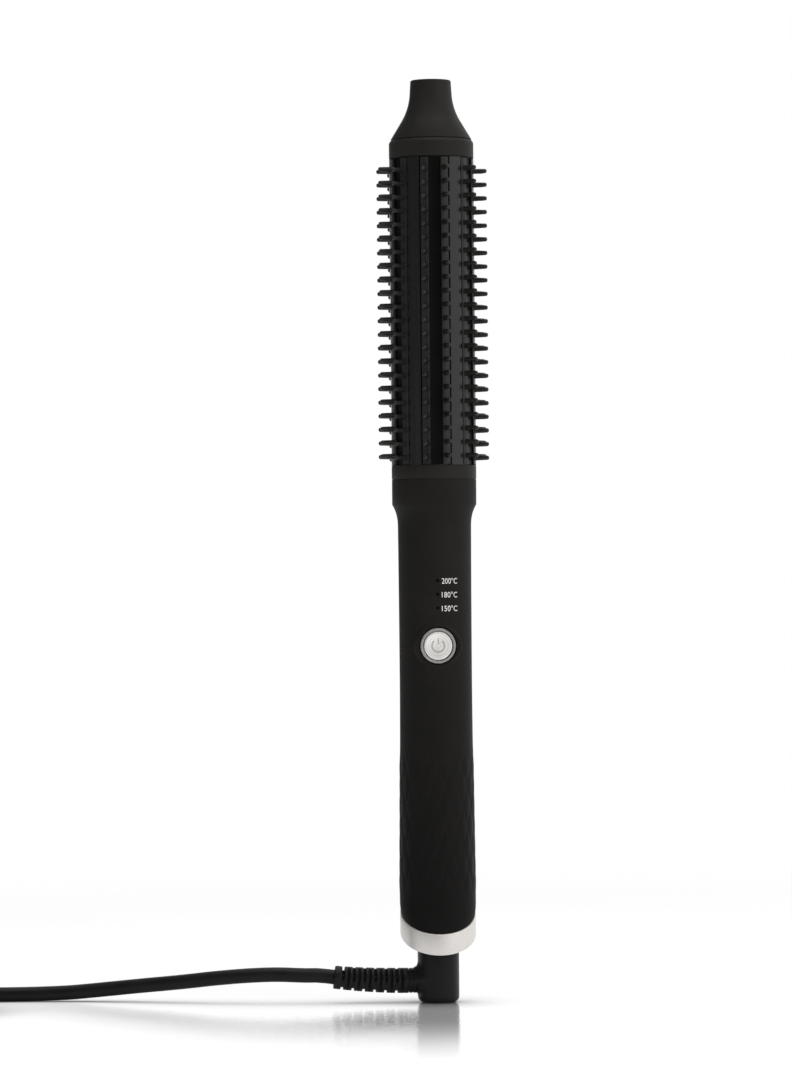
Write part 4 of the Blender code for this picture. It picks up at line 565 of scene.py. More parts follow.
# %% [markdown]
# ## The cord
#
# The cord comes first, because its length is a fact that cannot be bent to the picture: such a
# brush has 1.8 m of it. It leaves the strain relief, falls to the table in a long easy curve, and
# the length that the picture does not show is wound into a coil of 7.5 turns, four layers high,
# with the plug lying on top. The tube is a circle carried along that one line.

# %% The cord's line
CORD_D = 5.6
RUN = [
    (-51.4, 0.2, 10.8), (-61.5, 1.1, 11.2), (-72.3, 3.0, 10.8), (-84.5, 6.4, 9.7),
    (-97.1, 11.0, 8.1), (-114.2, 17.4, 6.2), (-127.6, 21.6, 4.7), (-139.8, 24.6, 3.5),
    (-151.0, 26.4, 3.0), (-162.2, 27.5, 2.8), (-176.0, 28.1, 2.9), (-190.0, 28.2, 3.2),
]
TAIL = [
    (17.5, -34.8, 22.4), (23.5, -31.0, 22.9), (29.5, -24.5, 23.7), (33.5, -16.0, 25.0),
    (34.8, -7.0, 27.0), (33.2, 2.0, 29.0), (28.6, 9.3, 30.6), (22.2, 13.6, 31.6),
]
COIL_MIDDLE = np.array([-212.5, -11.1, 0.0])
COIL_TURNS, COIL_OUT, COIL_IN = 7.5, 39.1, 26.8  # radii of the outer and inner ring of turns
COIL_PITCH = 6.15  # from one turn to the next, sideways and upwards: the cord and a little air
PLUG_ENTRY = COIL_MIDDLE + (11.5, 15.0, 32.1)
RELIEF_BEND = 250.0
RELIEF_LENGTH = 28.3


def relief_point(along, up, side):
    """A point of the strain relief in mm: the arm's line bent upwards on a radius of 250."""
    a = along / RELIEF_BEND
    reach = (RELIEF_BEND - up) * np.sin(a)
    height = RELIEF_BEND - (RELIEF_BEND - up) * np.cos(a)
    return np.stack(np.broadcast_arrays(-11.5 - reach, side, 8.4 + height), axis=-1)


def eased(points, step):
    """Catmull-Rom through the points, then points at even steps along it."""
    p = np.asarray(points, float)
    a, b, c, d = (p[k : len(p) - 3 + k, None, :] for k in range(4))
    t = np.linspace(0, 1, 24, endpoint=False)[None, :, None]
    fine = (
        2 * b + (c - a) * t + (2 * a - 5 * b + 4 * c - d) * t**2 + (3 * b - a - 3 * c + d) * t**3
    ) / 2
    fine = np.concatenate([fine.reshape(-1, 3), p[-2:-1]])
    run = np.concatenate([[0], np.cumsum(np.linalg.norm(np.diff(fine, axis=0), axis=1))])
    even = np.linspace(0, run[-1], int(round(run[-1] / step)) + 1)
    return np.stack([np.interp(even, run, fine[:, k]) for k in range(3)], axis=-1)


# Two turns to a layer: one layer winds inwards, the next outwards, with a short climb between
turns = np.linspace(0, COIL_TURNS, 7 * 72 + 37)
layer = np.floor(np.minimum(turns, COIL_TURNS - 0.001) / 2)
into = turns - 2 * layer
radius = np.where(layer % 2 == 0, COIL_OUT - COIL_PITCH * into, COIL_IN + COIL_PITCH * into)
climbs = np.clip((turns[:, None] - 2 * np.arange(1, 4) + 0.25) / 0.5, 0, 1)
rise = 3.7 + COIL_PITCH * (climbs**2 * (3 - 2 * climbs)).sum(axis=1)
angle = math.radians(90) + math.tau * turns
coil = COIL_MIDDLE + np.stack([radius * np.cos(angle), radius * np.sin(angle), rise], axis=-1)
way_in = (coil[0] - coil[1]) / np.linalg.norm(coil[0] - coil[1])
way_out = (coil[-1] - coil[-2]) / np.linalg.norm(coil[-1] - coil[-2])
start = relief_point(RELIEF_LENGTH - 1.0, 0.0, 0.0)
lead = relief_point(RELIEF_LENGTH + 5.9, 0.0, 0.0)
before = 2 * start - lead
into_coil = [coil[0] + way_in * CORD_D, coil[0], coil[0] - way_in * CORD_D]
run = eased([before, start, lead, *RUN, *into_coil], 4.0)
out_of_coil = [coil[-1] - way_out * CORD_D, coil[-1], coil[-1] + way_out * 5.9]
into_plug = [PLUG_ENTRY + (CORD_D, 0, 0), PLUG_ENTRY - (1.0, 0, 0), PLUG_ENTRY - (8.0, 0, 0)]
tail = eased([*out_of_coil, *(COIL_MIDDLE + TAIL), *into_plug], 4.0)
cord_line = np.concatenate([run[:-1], coil, tail[1:]])

# %% [markdown]
# A tube needs a direction at each point of its line. The line never stands upright, so the level
# sideways direction always exists: it is the tangent crossed with the vertical. The circle is
# drawn in that direction and the one square to it.

# %% The cord's tube
def carried(line, outline):
    """A closed outline of (sideways, upwards) points carried along a line, square to it, in mm."""
    tangent = unit(np.gradient(line, axis=0))
    sideways = unit(np.cross(tangent, [0.0, 0.0, 1.0]))
    upwards = np.cross(sideways, tangent)
    points = (
        line[:, None, :]
        + sideways[:, None, :] * outline[None, :, :1]
        + upwards[:, None, :] * outline[None, :, 1:]
    )
    return skin(points * MM, wrap_columns=True, caps=True)


def circle(radius, steps):
    """Points of a circle in millimetres."""
    a = np.linspace(0, math.tau, steps, endpoint=False)
    return np.stack([radius * np.cos(a), radius * np.sin(a)], axis=-1)


flex = piece(
    "cord_sheath", carried(cord_line, circle(CORD_D / 2, 24)), CORD_PVC, "swivel",
    ("cord_run", "cord_coil", "cord_tail"),
)

# %% [markdown]
# ## Cool tip, end cap and base ring
#
# These are turned shapes: a bell that can be held while the barrel is hot, the chamfered band
# under it, and the trim ring between barrel and handle. A lathe profile with a small fillet at
# every edge is the right tool, since it is the fillets that catch the light and tell plastic
# from paper.

# %% Turned pieces of the barrel
BARREL_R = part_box("base_ring")[1].x / MM
BARREL_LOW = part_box("barrel_tube")[0].z / MM
BARREL_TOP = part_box("barrel_tube")[1].z / MM
CAP_LOW, CAP_TOP = BARREL_TOP + 0.3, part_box("end_cap")[1].z / MM
TIP_LOW, TIP_TOP = CAP_TOP + 0.3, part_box("cool_tip")[1].z / MM
RING_LOW, RING_TOP = (corner.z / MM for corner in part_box("base_ring"))
CONE, TAPER = math.tan(math.radians(31.0)), math.tan(math.radians(3.4))  # the bell's two slopes
TIP_R, WALL, HEAD_R, SHANK_R = 7.7, 2.3, 3.6, 1.5  # tip's top, its wall, its screw's seat and hole
LIP, LIP_IN = 0.26, 0.7  # a step in each seam stops light from showing through it

base_r = BARREL_R - 0.6
slope_r = TIP_R + (TIP_TOP - TIP_LOW) * TAPER
meet = (base_r - slope_r) / (CONE - TAPER)  # height over the tip's foot where the slopes meet
meet_r = base_r - meet * CONE
MEET_Z = TIP_LOW + meet
head = rounded([(0, TIP_TOP, 0), (TIP_R, TIP_TOP, 0.5), (meet_r, MEET_Z, 0)], 6)[:-1]
bell = rounded([(TIP_R, TIP_TOP, 0), (meet_r, MEET_Z, 23.0), (base_r, TIP_LOW, 0)], 14)[1:-1]
foot = rounded([(meet_r, MEET_Z, 0), (base_r, TIP_LOW, 0.2), (base_r - WALL, TIP_LOW, 0)], 3)
hollow = [
    (base_r - LIP_IN, TIP_LOW), (base_r - LIP_IN, TIP_LOW - LIP), (base_r - WALL, TIP_LOW - LIP),
    (meet_r - WALL, MEET_Z), (5.7, TIP_TOP - 2.0),
    (HEAD_R, TIP_TOP - 2.0), (HEAD_R, CAP_TOP - 5.0), (SHANK_R, CAP_TOP - 5.0),
    (SHANK_R, CAP_TOP + 8.0), (0, CAP_TOP + 8.0),
]
tip_profile = np.concatenate([head, bell, foot[1:-1], hollow])
piece("cool_tip_moulding", turned(tip_profile), TIP_NYLON, "handle", ("cool_tip",))

BORE_R = BARREL_R - 3.95
spigot, top_r, lip_r = BORE_R - 0.3, BARREL_R - 3.5, BARREL_R - LIP_IN
cap_profile = rounded(
    [
        (top_r, CAP_TOP, 0), (base_r, CAP_TOP, 0.1), (BARREL_R, CAP_TOP - 0.6 / CONE, 0.5),
        (BARREL_R, CAP_LOW, 0.15), (lip_r, CAP_LOW, 0), (lip_r, CAP_LOW - LIP, 0),
        (spigot, CAP_LOW - LIP, 0), (spigot, CAP_LOW - 6.2, 0.3), (spigot - 2, CAP_LOW - 6.2, 0),
        (spigot - 2, CAP_TOP - 8.2, 0), (SHANK_R, CAP_TOP - 8.2, 0), (SHANK_R, CAP_TOP - 5.2, 0),
        (top_r, CAP_TOP - 5.2, 0),
    ],
    4,
)
piece(
    "end_cap_band", turned(cap_profile, closed=True), TIP_NYLON, "handle",
    ("end_cap",),
)

step_r, bush_r = BARREL_R - 0.15, 13.1
ring_profile = rounded(
    [
        (bush_r, RING_TOP + LIP, 0), (step_r, RING_TOP + LIP, 0), (step_r, RING_TOP, 0),
        (BARREL_R, RING_TOP, 0.15), (BARREL_R, RING_LOW, 0.15), (step_r, RING_LOW, 0),
        (step_r, RING_LOW - LIP, 0), (bush_r, RING_LOW - LIP, 0),
    ],
    3,
)
piece(
    "base_ring_band", turned(ring_profile, closed=True), TIP_NYLON, "handle",
    ("base_ring",),
)

# %% [markdown]
# ## The barrel
#
# The heated tube is an aluminium extrusion: six polished plates with a channel between each pair.
# An extrusion is one outline pushed straight, so its grid has only a few rows. What sells it is
# the small radius along each plate's edge, where the coat shows a thin line of light.

# %% Barrel extrusion
def polar(radius, degrees):
    """Points at an angle from the front, turning towards +X: (r sin a, -r cos a)."""
    a = np.radians(degrees)
    return np.stack([radius * np.sin(a), -radius * np.cos(a)], axis=-1)


def level(flat, z):
    """Flat points, all put at one height."""
    return np.column_stack([flat, np.full(len(flat), z)])


# Half angles of a channel's mouth and undercut, and of a plate's rounded edge, in degrees
slot_half, undercut_half, edge = 20.68, 23.67, 0.9
sixth = (
    (np.full(2, BARREL_R - 0.95), np.array([-slot_half, -undercut_half])),
    (np.full(9, BARREL_R - 2.35), np.linspace(-undercut_half, undercut_half, 9)),
    (np.full(2, BARREL_R - 0.95), np.array([undercut_half, slot_half])),
    (BARREL_R - np.array([0.25, 0.07, 0.0]), slot_half + edge * np.array([0.0, 0.25, 1.0])),
    (np.full(15, BARREL_R), np.linspace(slot_half + edge, 60 - slot_half - edge, 17)[1:-1]),
    (BARREL_R - np.array([0.0, 0.07, 0.25]), 60 - slot_half - edge * np.array([1.0, 0.25, 0.0])),
)
sixth_r, sixth_a = (np.concatenate(parts) for parts in zip(*sixth))
sector_r = np.tile(sixth_r, 6)
sector_a = (np.arange(6)[:, None] * 60 + sixth_a[None, :]).ravel()
outer = polar(sector_r, sector_a)
bore = polar(np.full(len(sector_a), BORE_R), sector_a)
rows = [(outer, BARREL_LOW), (outer, BARREL_TOP), (bore, BARREL_TOP), (bore, BARREL_LOW)]
barrel_points = np.stack([level(flat, z) for flat, z in rows])
piece(
    "barrel_extrusion", skin(barrel_points * MM, wrap_rows=True, wrap_columns=True), BARREL_COAT,
    "handle", ("barrel_tube",),
)

# %% [markdown]
# ## Comb strips
#
# Six moulded strips slide into the channels. Each has two rails with a row of 22 pins and a sunk
# window between them. A pin is a short grid of eight sides: a skirt where it grows out of the
# rail, a slow taper and a round end. All the pins of a strip come out of one array, because they
# differ only in their height and side. The window's faces are told from the rails by how near
# they lie to the strip's middle line, and get a near-black finish as painted shade of the recess.

# %% Comb strips and pins
STRIP_LOW, STRIP_TOP = BARREL_LOW + 0.25, BARREL_TOP - 0.25
# Half of a strip's outline, as depths under the barrel's surface and half angles in degrees: from
# the foot in the undercut up through the channel's mouth, over the rail and down into the window
half_in = np.array([2.05, 2.05, 1.25, 1.25, 0.3, 0.09, 0, 0, 0, 0.05, 0.3, 0.8, 0.9, 0.9])
half_a = np.array([0.0, 22.5, 22.5, 19.6, 19.6, 19.35, 18.6, 13.5, 9.8, 9.0, 8.5, 8.2, 7.2, 0.0])
strip_r = BARREL_R - np.concatenate([half_in, half_in[-2:0:-1]])
strip_a = np.concatenate([half_a, -half_a[-2:0:-1]])
PINS, PIN_SIDES = 22, 8  # pins in a row, and sides of a pin
FIRST_PIN, PIN_PITCH, PIN_STAGGER = 3.5, 5.19, 0.85
PIN_AWAY = 13.0  # degrees from a strip's middle line to each of its two rows
pin_out = BARREL_R + np.array([-0.35, 0.0, 0.2, 0.6, 3.0, 4.8, 5.15, 5.38, 5.48])
pin_r = np.array([1.16, 1.12, 1.05, 0.99, 0.92, 0.84, 0.74, 0.50, 0.14])
LEFT_LOW = (1, 4, 5)  # strips whose left row of pins sits lower; on the others it is the right
WINDOW_HALF = 2.3 * MM  # the window and its walls lie this near to a strip's middle line


def comb_strip(turn, lower):
    """A strip turned about the barrel: its bar is an outline pushed up, its pins one array.

    lower holds how far the left and the right row of pins are shifted down.
    """
    flat = polar(strip_r, strip_a + turn)
    bar = np.stack([level(flat, z) for z in (STRIP_LOW, STRIP_TOP)]) * MM
    round_a = np.linspace(0, math.tau, PIN_SIDES, endpoint=False)
    wide, high = pin_r[:, None] * np.cos(round_a), pin_r[:, None] * np.sin(round_a)
    heights = BARREL_LOW + FIRST_PIN + PIN_PITCH * np.arange(PINS)[None, :] - lower[:, None]
    side_a = np.radians(turn + np.array([-PIN_AWAY, PIN_AWAY]))
    outward = np.stack([np.sin(side_a), -np.cos(side_a), 0 * side_a], axis=-1)
    across = np.stack([np.cos(side_a), np.sin(side_a), 0 * side_a], axis=-1)
    pins = (
        outward[:, None, None, None, :] * pin_out[:, None, None]
        + across[:, None, None, None, :] * wide[..., None]
        + np.array([0, 0, 1.0]) * (heights[:, :, None, None, None] + high[..., None])
    ).reshape(-1, len(pin_out), PIN_SIDES, 3)
    return joined([skin(part, wrap_columns=True, caps=True) for part in (bar, *(pins * MM))])


for number in range(1, 7):
    turn = 60.0 * (number - 1)
    lower = np.array([PIN_STAGGER, 0.0] if number in LEFT_LOW else [0.0, PIN_STAGGER])
    strip = piece(
        f"comb_strip_fine_{number}", comb_strip(turn, lower), COMB_NYLON, "handle",
        (f"comb_strip_{number}",), 50.0,
    )
    strip.data.materials.append(SHADED_WINDOW_NYLON)
    centres = np.empty(len(strip.data.polygons) * 3)
    strip.data.polygons.foreach_get("center", centres)
    turn = math.radians(turn)
    off_middle = centres.reshape(-1, 3)[:, :2] @ [math.cos(turn), math.sin(turn)]
    sunk = np.abs(off_middle) < WINDOW_HALF
    # The window's faces take the near-black finish: painted shade of the recess
    strip.data.polygons.foreach_set("material_index", sunk.astype(np.int32))

# %% [markdown]
# ## The handle
#
# The handle is two lacquered shells that meet at the sides. Its outline runs from the collar over
# a short neck to a slim waist and widens again to the end, which is cut on a slope. Low leaf
# shapes are pressed into the grip so that it does not slip. Here the outline is a function of
# height, the leaves are a function of angle and height, and both go into one grid per shell.

# %% The handle's outline and grip
SHELL_LOW, HANDLE_TOP = 34.3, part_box("handle_front_shell")[1].z / MM
NECK_LOW, NECK_TALL, WAIST_Z = HANDLE_TOP - 18.5, 9.0, HANDLE_TOP - 78.9
WAIST_R, ABOVE_WAIST, BELOW_WAIST, COLLAR_STEP = 13.77, 0.18, 0.78, 2.1
LEAVES, LEAF_RISE, LEAF_DEPTH = 18, 15.0, 0.24  # leaves round the handle, their rise and relief
LEAVES_LOW, LEAVES_TOP = 40.0, 98.0
BUTTON_MM, PAD_OUT, PAD_R, PAD_EASE = BUTTON_Z / MM, 13.9, 8.9, 1.6
SLOPE, FOOT_R = math.tan(math.radians(27.3)), 14.55
SHELL_WALL, COLLAR_BORE = 1.8, 13.0
OUTER_STEPS, INNER_STEPS = 112, 28
# Rows of a shell, as heights in an upright shell of this height that the sloped end stretches:
# close together at the rims, in the grip and round the button
SHELL_TALL = 164.6
SHELL_ROWS = np.concatenate([
    [0.0, 0.12, 0.4, 1.0, 2.0, 3.2, 4.6], np.linspace(6.0, 66.0, 121), np.linspace(69.0, 90.0, 6),
    np.arange(91.0, 131.1, 0.5), np.linspace(134.0, 145.5, 4), np.linspace(146.5, 155.0, 12),
    [155.1, 159.0, 162.75, 162.8, 164.45, SHELL_TALL],
])


def handle_radius(z):
    """Radius by height: collar, neck sweep to the power 2.6, waist, and a grip that widens."""
    neck = np.clip((z - NECK_LOW) / NECK_TALL, 0, 1)
    above = np.clip((z - WAIST_Z) / (NECK_LOW - WAIST_Z), 0, 1)
    below = np.clip((WAIST_Z - z) / (WAIST_Z - SHELL_LOW), 0, 1.2)
    return WAIST_R + ABOVE_WAIST * above**2 + COLLAR_STEP * neck**2.6 + BELOW_WAIST * below**1.4


def leaf_relief(turn, z):
    """Height of the grip's leaves: two families of crossing lines leave pillows between them."""
    u, v = turn / 360.0 * LEAVES, z / LEAF_RISE
    first, second = ((u + v) % 1.0) * 2 - 1, ((u - v) % 1.0) * 2 - 1
    pillow = (1 - np.abs(first) ** 3) * (1 - np.abs(second) ** 3)
    fade = np.clip((z - LEAVES_LOW) / 6.0, 0, 1) * np.clip((LEAVES_TOP - z) / 8.0, 0, 1)
    return LEAF_DEPTH * pillow * fade


def pad_lift(r, turn, z):
    """How far the button's pad stands out: a flat disc, r = out / cos a, eased into the handle."""
    facing = np.cos(np.radians(turn))
    off = np.hypot(r * np.sin(np.radians(turn)), z - BUTTON_MM)
    share = np.clip((PAD_R - off) / PAD_EASE, 0, 1) * (facing > 0.5)
    return np.maximum(PAD_OUT / np.maximum(facing, 0.5) - r, 0) * share**2 * (3 - 2 * share)


def handle_shell(middle, tongue):
    """A half tube: an outer and an inner arc close each row, and the rows follow the sloped end.

    At both seams a tongue stands out of the edge by the given length, so that no light passes.
    """
    limit = 90.0 - math.degrees(0.15 / 14.0)  # 0.15 mm short of half round: the seam's fine line
    out_a = np.linspace(-limit + 1.0, limit - 1.0, OUTER_STEPS)
    out_a = np.concatenate([[-limit, -limit + 0.35], out_a, [limit - 0.35, limit]])
    in_a = np.linspace(limit, -limit, INNER_STEPS)
    edge_drop = np.zeros(len(out_a))  # softens the edges along the seams
    edge_drop[[0, -1]] = 0.12
    edge_drop[[1, -2]] = 0.03
    lift = SHELL_ROWS[:, None]

    def heights(a):
        low = SHELL_LOW - SLOPE * FOOT_R * np.cos(np.radians(a + middle))
        return low[None, :] + (HANDLE_TOP - low)[None, :] * (lift / SHELL_TALL)

    z_out, z_in = heights(out_a), heights(in_a)
    # The lower rim is tucked in over the ring, and the collar's top edge is softened
    tuck = 0.45 * np.clip(1 - lift / 5.0, 0, 1) ** 2 + 0.25 * np.clip(1 - lift / 0.4, 0, 1) ** 2
    top_edge = 0.15 * np.clip((lift - 164.45) / 0.15, 0, 1)
    r_out = handle_radius(z_out) + leaf_relief(out_a + middle, z_out) - tuck - top_edge - edge_drop
    r_out = r_out + pad_lift(r_out, out_a + middle, z_out)
    r_in = np.where(lift >= 162.8, COLLAR_BORE, handle_radius(z_in) - SHELL_WALL)
    tongue_a = limit + np.degrees(tongue / 13.0) * np.array([0, 1, 1, 0])
    tongue_in = np.array([0.5, 0.5, 0.75, 0.75])
    right, left = (
        (handle_radius(ends) - tongue_in[None, ::way], way * tongue_a[::way], ends + 0 * tongue_a)
        for way, ends in ((1, z_out[:, -1:]), (-1, z_out[:, :1]))
    )
    # A row runs along the outer arc, over the right tongue, back inside and over the left one
    parts = [(r_out, out_a, z_out), right, (r_in, in_a, z_in), left]
    arcs = [np.concatenate([polar(r, a + middle), z[..., None]], axis=-1) for r, a, z in parts]
    return skin(np.concatenate(arcs, axis=1) * MM, wrap_columns=True, caps=True)


print(f"handle from {SHELL_LOW} to {HANDLE_TOP:.1f} mm, waist at {WAIST_Z:.1f} mm")

# %% [markdown]
# The front shell is pierced for the button and the three lamps, the rear shell for its two
# screws. These are cuts, not surfaces, so a Boolean is the honest tool: it is applied at once and
# leaves a plain mesh.

# %% Holes and screw seats
def cutter(name, made):
    """A helper object for a Boolean."""
    return in_scene(name, welded(name, made))


def carve(obj, steps):
    """Applies each (operation, helper) to the object's mesh in turn, then removes the helpers."""
    for operation, other in steps:
        modifier = obj.modifiers.new(other.name, "BOOLEAN")
        modifier.operation = operation
        modifier.object = other
        modifier.solver = "EXACT"
        graph = bpy.context.evaluated_depsgraph_get()
        mesh = bpy.data.meshes.new_from_object(obj.evaluated_get(graph))
        obj.modifiers.clear()
        obj.data = mesh
        bpy.data.objects.remove(other, do_unlink=True)
    smoothed(obj.data)
    print(f"{obj.name}: {len(obj.data.polygons)} faces after carving")


def rod(radius, near, far, height, steps):
    """A plug for a hole: a short turned rod that faces the front, from y = -near to y = -far."""
    return faced(turned([(0, far), (radius, far), (radius, near), (0, near)], steps), height)


LAMPS = HANDLE_TOP - 38.4 - 5.2 * np.arange(3)
front = piece(
    "handle_front", handle_shell(0.0, 0.0), SOFT_TOUCH, "handle",
    ("handle_front_shell",),
)
chamfer = faced(turned([(0, 15.0), (8.4, 15.0), (7.0, 13.55), (0, 13.55)], 96), BUTTON_MM)
steps = [
    ("DIFFERENCE", cutter("button_hole", rod(7.0, 9.0, 15.0, BUTTON_MM, 96))),
    ("DIFFERENCE", cutter("button_hole_chamfer", chamfer)),
]
steps += [("DIFFERENCE", cutter("lamp_hole", rod(0.62, 10.0, 15.0, z, 24))) for z in LAMPS]
carve(front, steps)

rear = piece(
    "handle_rear", handle_shell(180.0, 0.27), SOFT_TOUCH, "handle",
    ("handle_rear_shell",),
)
seats = [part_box(name) for name in ("closing_screw_lower", "closing_screw_upper")]
seat_heights = [(low.z + high.z) / 2 / MM for low, high in seats]
steps = []
for z in seat_heights:
    steps.append(("UNION", cutter("boss", rod(3.8, -12.9, -0.3, z, 48))))
    steps.append(("DIFFERENCE", cutter("seat", rod(2.7, -16.0, -9.0, z, 48))))
    steps.append(("DIFFERENCE", cutter("shank_hole", rod(1.5, -10.0, -0.1, z, 32))))
carve(rear, steps)

# %% [markdown]
# ## Ring and plate at the handle's end
#
# The end of the handle is cut on a slope and finished with a silver ring. A ring that is turned
# level and then sheared keeps its upright wall and gets sloping rims, which is just how the real
# one is cut. Its rims have a small bright chamfer.

# %% Sheared ring and plate
def sheared(made):
    """Every point is raised by the slope times its y, so level faces take the handle's slope."""
    flat, faces = made
    return flat + np.stack([0 * flat[:, 0], 0 * flat[:, 0], SLOPE * flat[:, 1]], axis=-1), faces


ring = rounded([(13.4, 34.0, 0.15), (14.4, 34.0, 0.3), (14.4, 26.1, 0.35), (13.4, 26.1, 0.15)], 4)
piece(
    "end_ring_satin", sheared(turned(ring, 160, closed=True)), RING_ALUMINIUM, "handle",
    ("end_ring",), 40.0,
)
plate = rounded([(8.2, 28.0, 0), (13.1, 28.0, 0), (13.1, 25.6, 0.2), (8.2, 25.6, 0.3)], 4)
piece(
    "end_plate_moulding", sheared(turned(plate, 128, closed=True)), DARK_ABS, "handle",
    ("end_plate",),
)

# %% [markdown]
# ## Button, bezel and printed marks
#
# The button is a shallow dish of spun aluminium in a grey bezel. Its mark is the common open ring
# with a bar, laid on as a thin film. The three temperatures beside the lamps are pad printed; the
# letters are made a mesh first and then wrapped round the handle, so that they lie on it.

# %% Button and bezel
BUTTON_R, FACE_OUT, DISH_DEPTH = 5.3, 14.0, 0.2


def dish(r):
    """Distance of the button's face from the axis: a shallow dish that rises as r squared."""
    return FACE_OUT + DISH_DEPTH * (np.asarray(r) / BUTTON_R) ** 2


face_r = np.linspace(0, BUTTON_R - 0.3, 14)
rim = [(BUTTON_R - 0.12, 14.13), (BUTTON_R - 0.03, 14.03), (BUTTON_R, 13.9)]
stem = [(BUTTON_R, 10.7), (6.7, 10.7), (6.7, 9.7), (1.7, 9.7), (1.7, 8.3), (0, 8.3)]
button_profile = np.concatenate([np.stack([face_r, dish(face_r)], axis=-1), rim, stem])
piece(
    "power_button_spun", faced(turned(button_profile, 96), BUTTON_MM), SPUN_ALUMINIUM, "button",
    ("power_button",), 40.0,
)
bezel = rounded([(5.7, 14.25, 0.35), (6.7, 14.25, 0.4), (6.7, 11.05, 0), (5.7, 11.05, 0)], 5)
piece(
    "button_bezel_ring", faced(turned(bezel, 96, closed=True), BUTTON_MM), BEZEL_ALUMINIUM,
    "handle", ("button_bezel",), 40.0,
)

# %% Marks
# Laser mark: the anodised skin turned a dull mid-grey, flat against the shiny face
MARK_GREY = plastic("laser_mark_grey", "#8d8b88", "#9a9895", 0.55, 0.5, 0.005)
# Pad-printed ink: a thin and even white film with a dull surface
PRINT_WHITE = plastic("pad_print_white", "#e4e3e0", "#efeeeb", 0.55, 0.5, 0.005)


def ribbon(line, width):
    """A flat band of this width along a line of (x, up) points on the button's face."""
    way = unit(np.gradient(line, axis=0))
    across = np.stack([-way[:, 1], way[:, 0]], axis=-1)
    edges = line[:, None, :] + across[:, None, :] * (np.array([-0.5, 0.5]) * width)[None, :, None]
    out = dish(np.linalg.norm(edges, axis=-1))
    loop = [(0, 0.02), (1, 0.02), (1, -0.03), (0, -0.03)]
    corners = [
        np.stack([edges[:, k, 0], -(out[:, k] + lift), BUTTON_MM + edges[:, k, 1]], axis=-1)
        for k, lift in loop
    ]
    return skin(np.stack(corners, axis=1) * MM, wrap_columns=True, caps=True)


MARK_R, MARK_WIDE = 2.35, 0.34
sweep = np.radians(np.linspace(38, 322, 49))
open_ring = np.stack([MARK_R * np.sin(sweep), MARK_R * np.cos(sweep)], axis=-1)
bar = np.stack([np.zeros(5), np.linspace(0.5, 2.75, 5)], axis=-1)
mark = joined([ribbon(line, MARK_WIDE) for line in (open_ring, bar)])
piece("power_mark", mark, MARK_GREY, "button", ())

PRINT_LEFT, PRINT_WIDE, PRINT_DROP, PRINT_TALL = 1.55, 6.35, 1.25, 2.2
WRAP_R = 13.7  # radius of the handle where the print is wrapped round it
for z, words in zip(LAMPS, ("200°C", "180°C", "150°C")):
    text = bpy.data.curves.new("temperature", "FONT")
    text.body = words
    text.size = 1.0
    text.extrude = 0.01
    text.resolution_u = 4
    draft = in_scene("temperature_draft", text)
    graph = bpy.context.evaluated_depsgraph_get()
    mesh = bpy.data.meshes.new_from_object(draft.evaluated_get(graph))
    bpy.data.objects.remove(draft, do_unlink=True)
    flat = np.empty(len(mesh.vertices) * 3)
    mesh.vertices.foreach_get("co", flat)
    flat = flat.reshape(-1, 3)
    low, high = flat.min(axis=0), flat.max(axis=0)
    share = (flat - low) / (high - low)
    turn = (PRINT_LEFT + PRINT_WIDE * share[:, 0]) / WRAP_R
    up = z - PRINT_DROP + PRINT_TALL * share[:, 1]
    out = handle_radius(up) - 0.02 + 0.05 * share[:, 2]
    placed = np.stack([out * np.sin(turn), -out * np.cos(turn), up], axis=-1) * MM
    mesh.vertices.foreach_set("co", placed.ravel())
    mesh.materials.append(PRINT_WHITE)
    label = in_scene(f"temperature_{words[:3]}", mesh)
    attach(label, "handle")
print("button, bezel and marks made")

# %% [markdown]
# ## Swivel elbow and strain relief
#
# The elbow is the brush's foot: a post with a rounded sole, and an arm that grows out of it with
# a smooth throat. All round the arm the throat is a curve with three control points. The first
# lies on the arm, the last on the post's own surface, and the middle one where the two meet, so
# the curve leaves both without a kink. The strain relief is a sleeve with slots cut in turn from
# the sides and round the top and bottom, so that it bends evenly.

# %% Elbow
POST_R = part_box("swivel_elbow")[1].x / MM
POST_TOP, SPIGOT_TOP, SHOULDER = 58.06, 52.06, 33.57
CLIP_TOP, CLIP_LOW = 48.46, 47.06  # the groove that the retaining clip sits in
ARM_R, ARM_Z, ARM_END = 4.75, 8.4, -11.2
post = rounded(
    [
        (0, 5.5, 0), (2.2, 5.5, 0), (2.2, POST_TOP, 0), (3.0, POST_TOP, 0.2),
        (3.0, SPIGOT_TOP, 0), (5.2, SPIGOT_TOP, 0.3), (5.2, CLIP_TOP, 0), (4.2, CLIP_TOP, 0),
        (4.2, CLIP_LOW, 0), (5.2, CLIP_LOW, 0), (5.2, SHOULDER, 0), (POST_R, SHOULDER, 0.4),
        (POST_R, 0, 2.4), (0, 0, 0),
    ],
    8,
)
around = np.linspace(0, math.tau, 96, endpoint=False)
# How far the throat reaches out: 3.0 mm above the arm, 2.0 beside it and 1.2 below
reach = 2.0 + 0.9 * np.cos(around) + 0.1 * np.cos(around) ** 2
mouth_r = ARM_R + reach
mouth_y = mouth_r * np.sin(around)
mouth_x = -np.sqrt(POST_R**2 - mouth_y**2)
corner_x = mouth_x - reach * mouth_r * np.sin(around) ** 2 / -mouth_x
t = np.linspace(1, 0, 60)[:, None]
throat_x = (1 - t) ** 2 * (corner_x - reach) + 2 * t * (1 - t) * corner_x + t**2 * mouth_x
throat_r = ARM_R + t**2 * reach
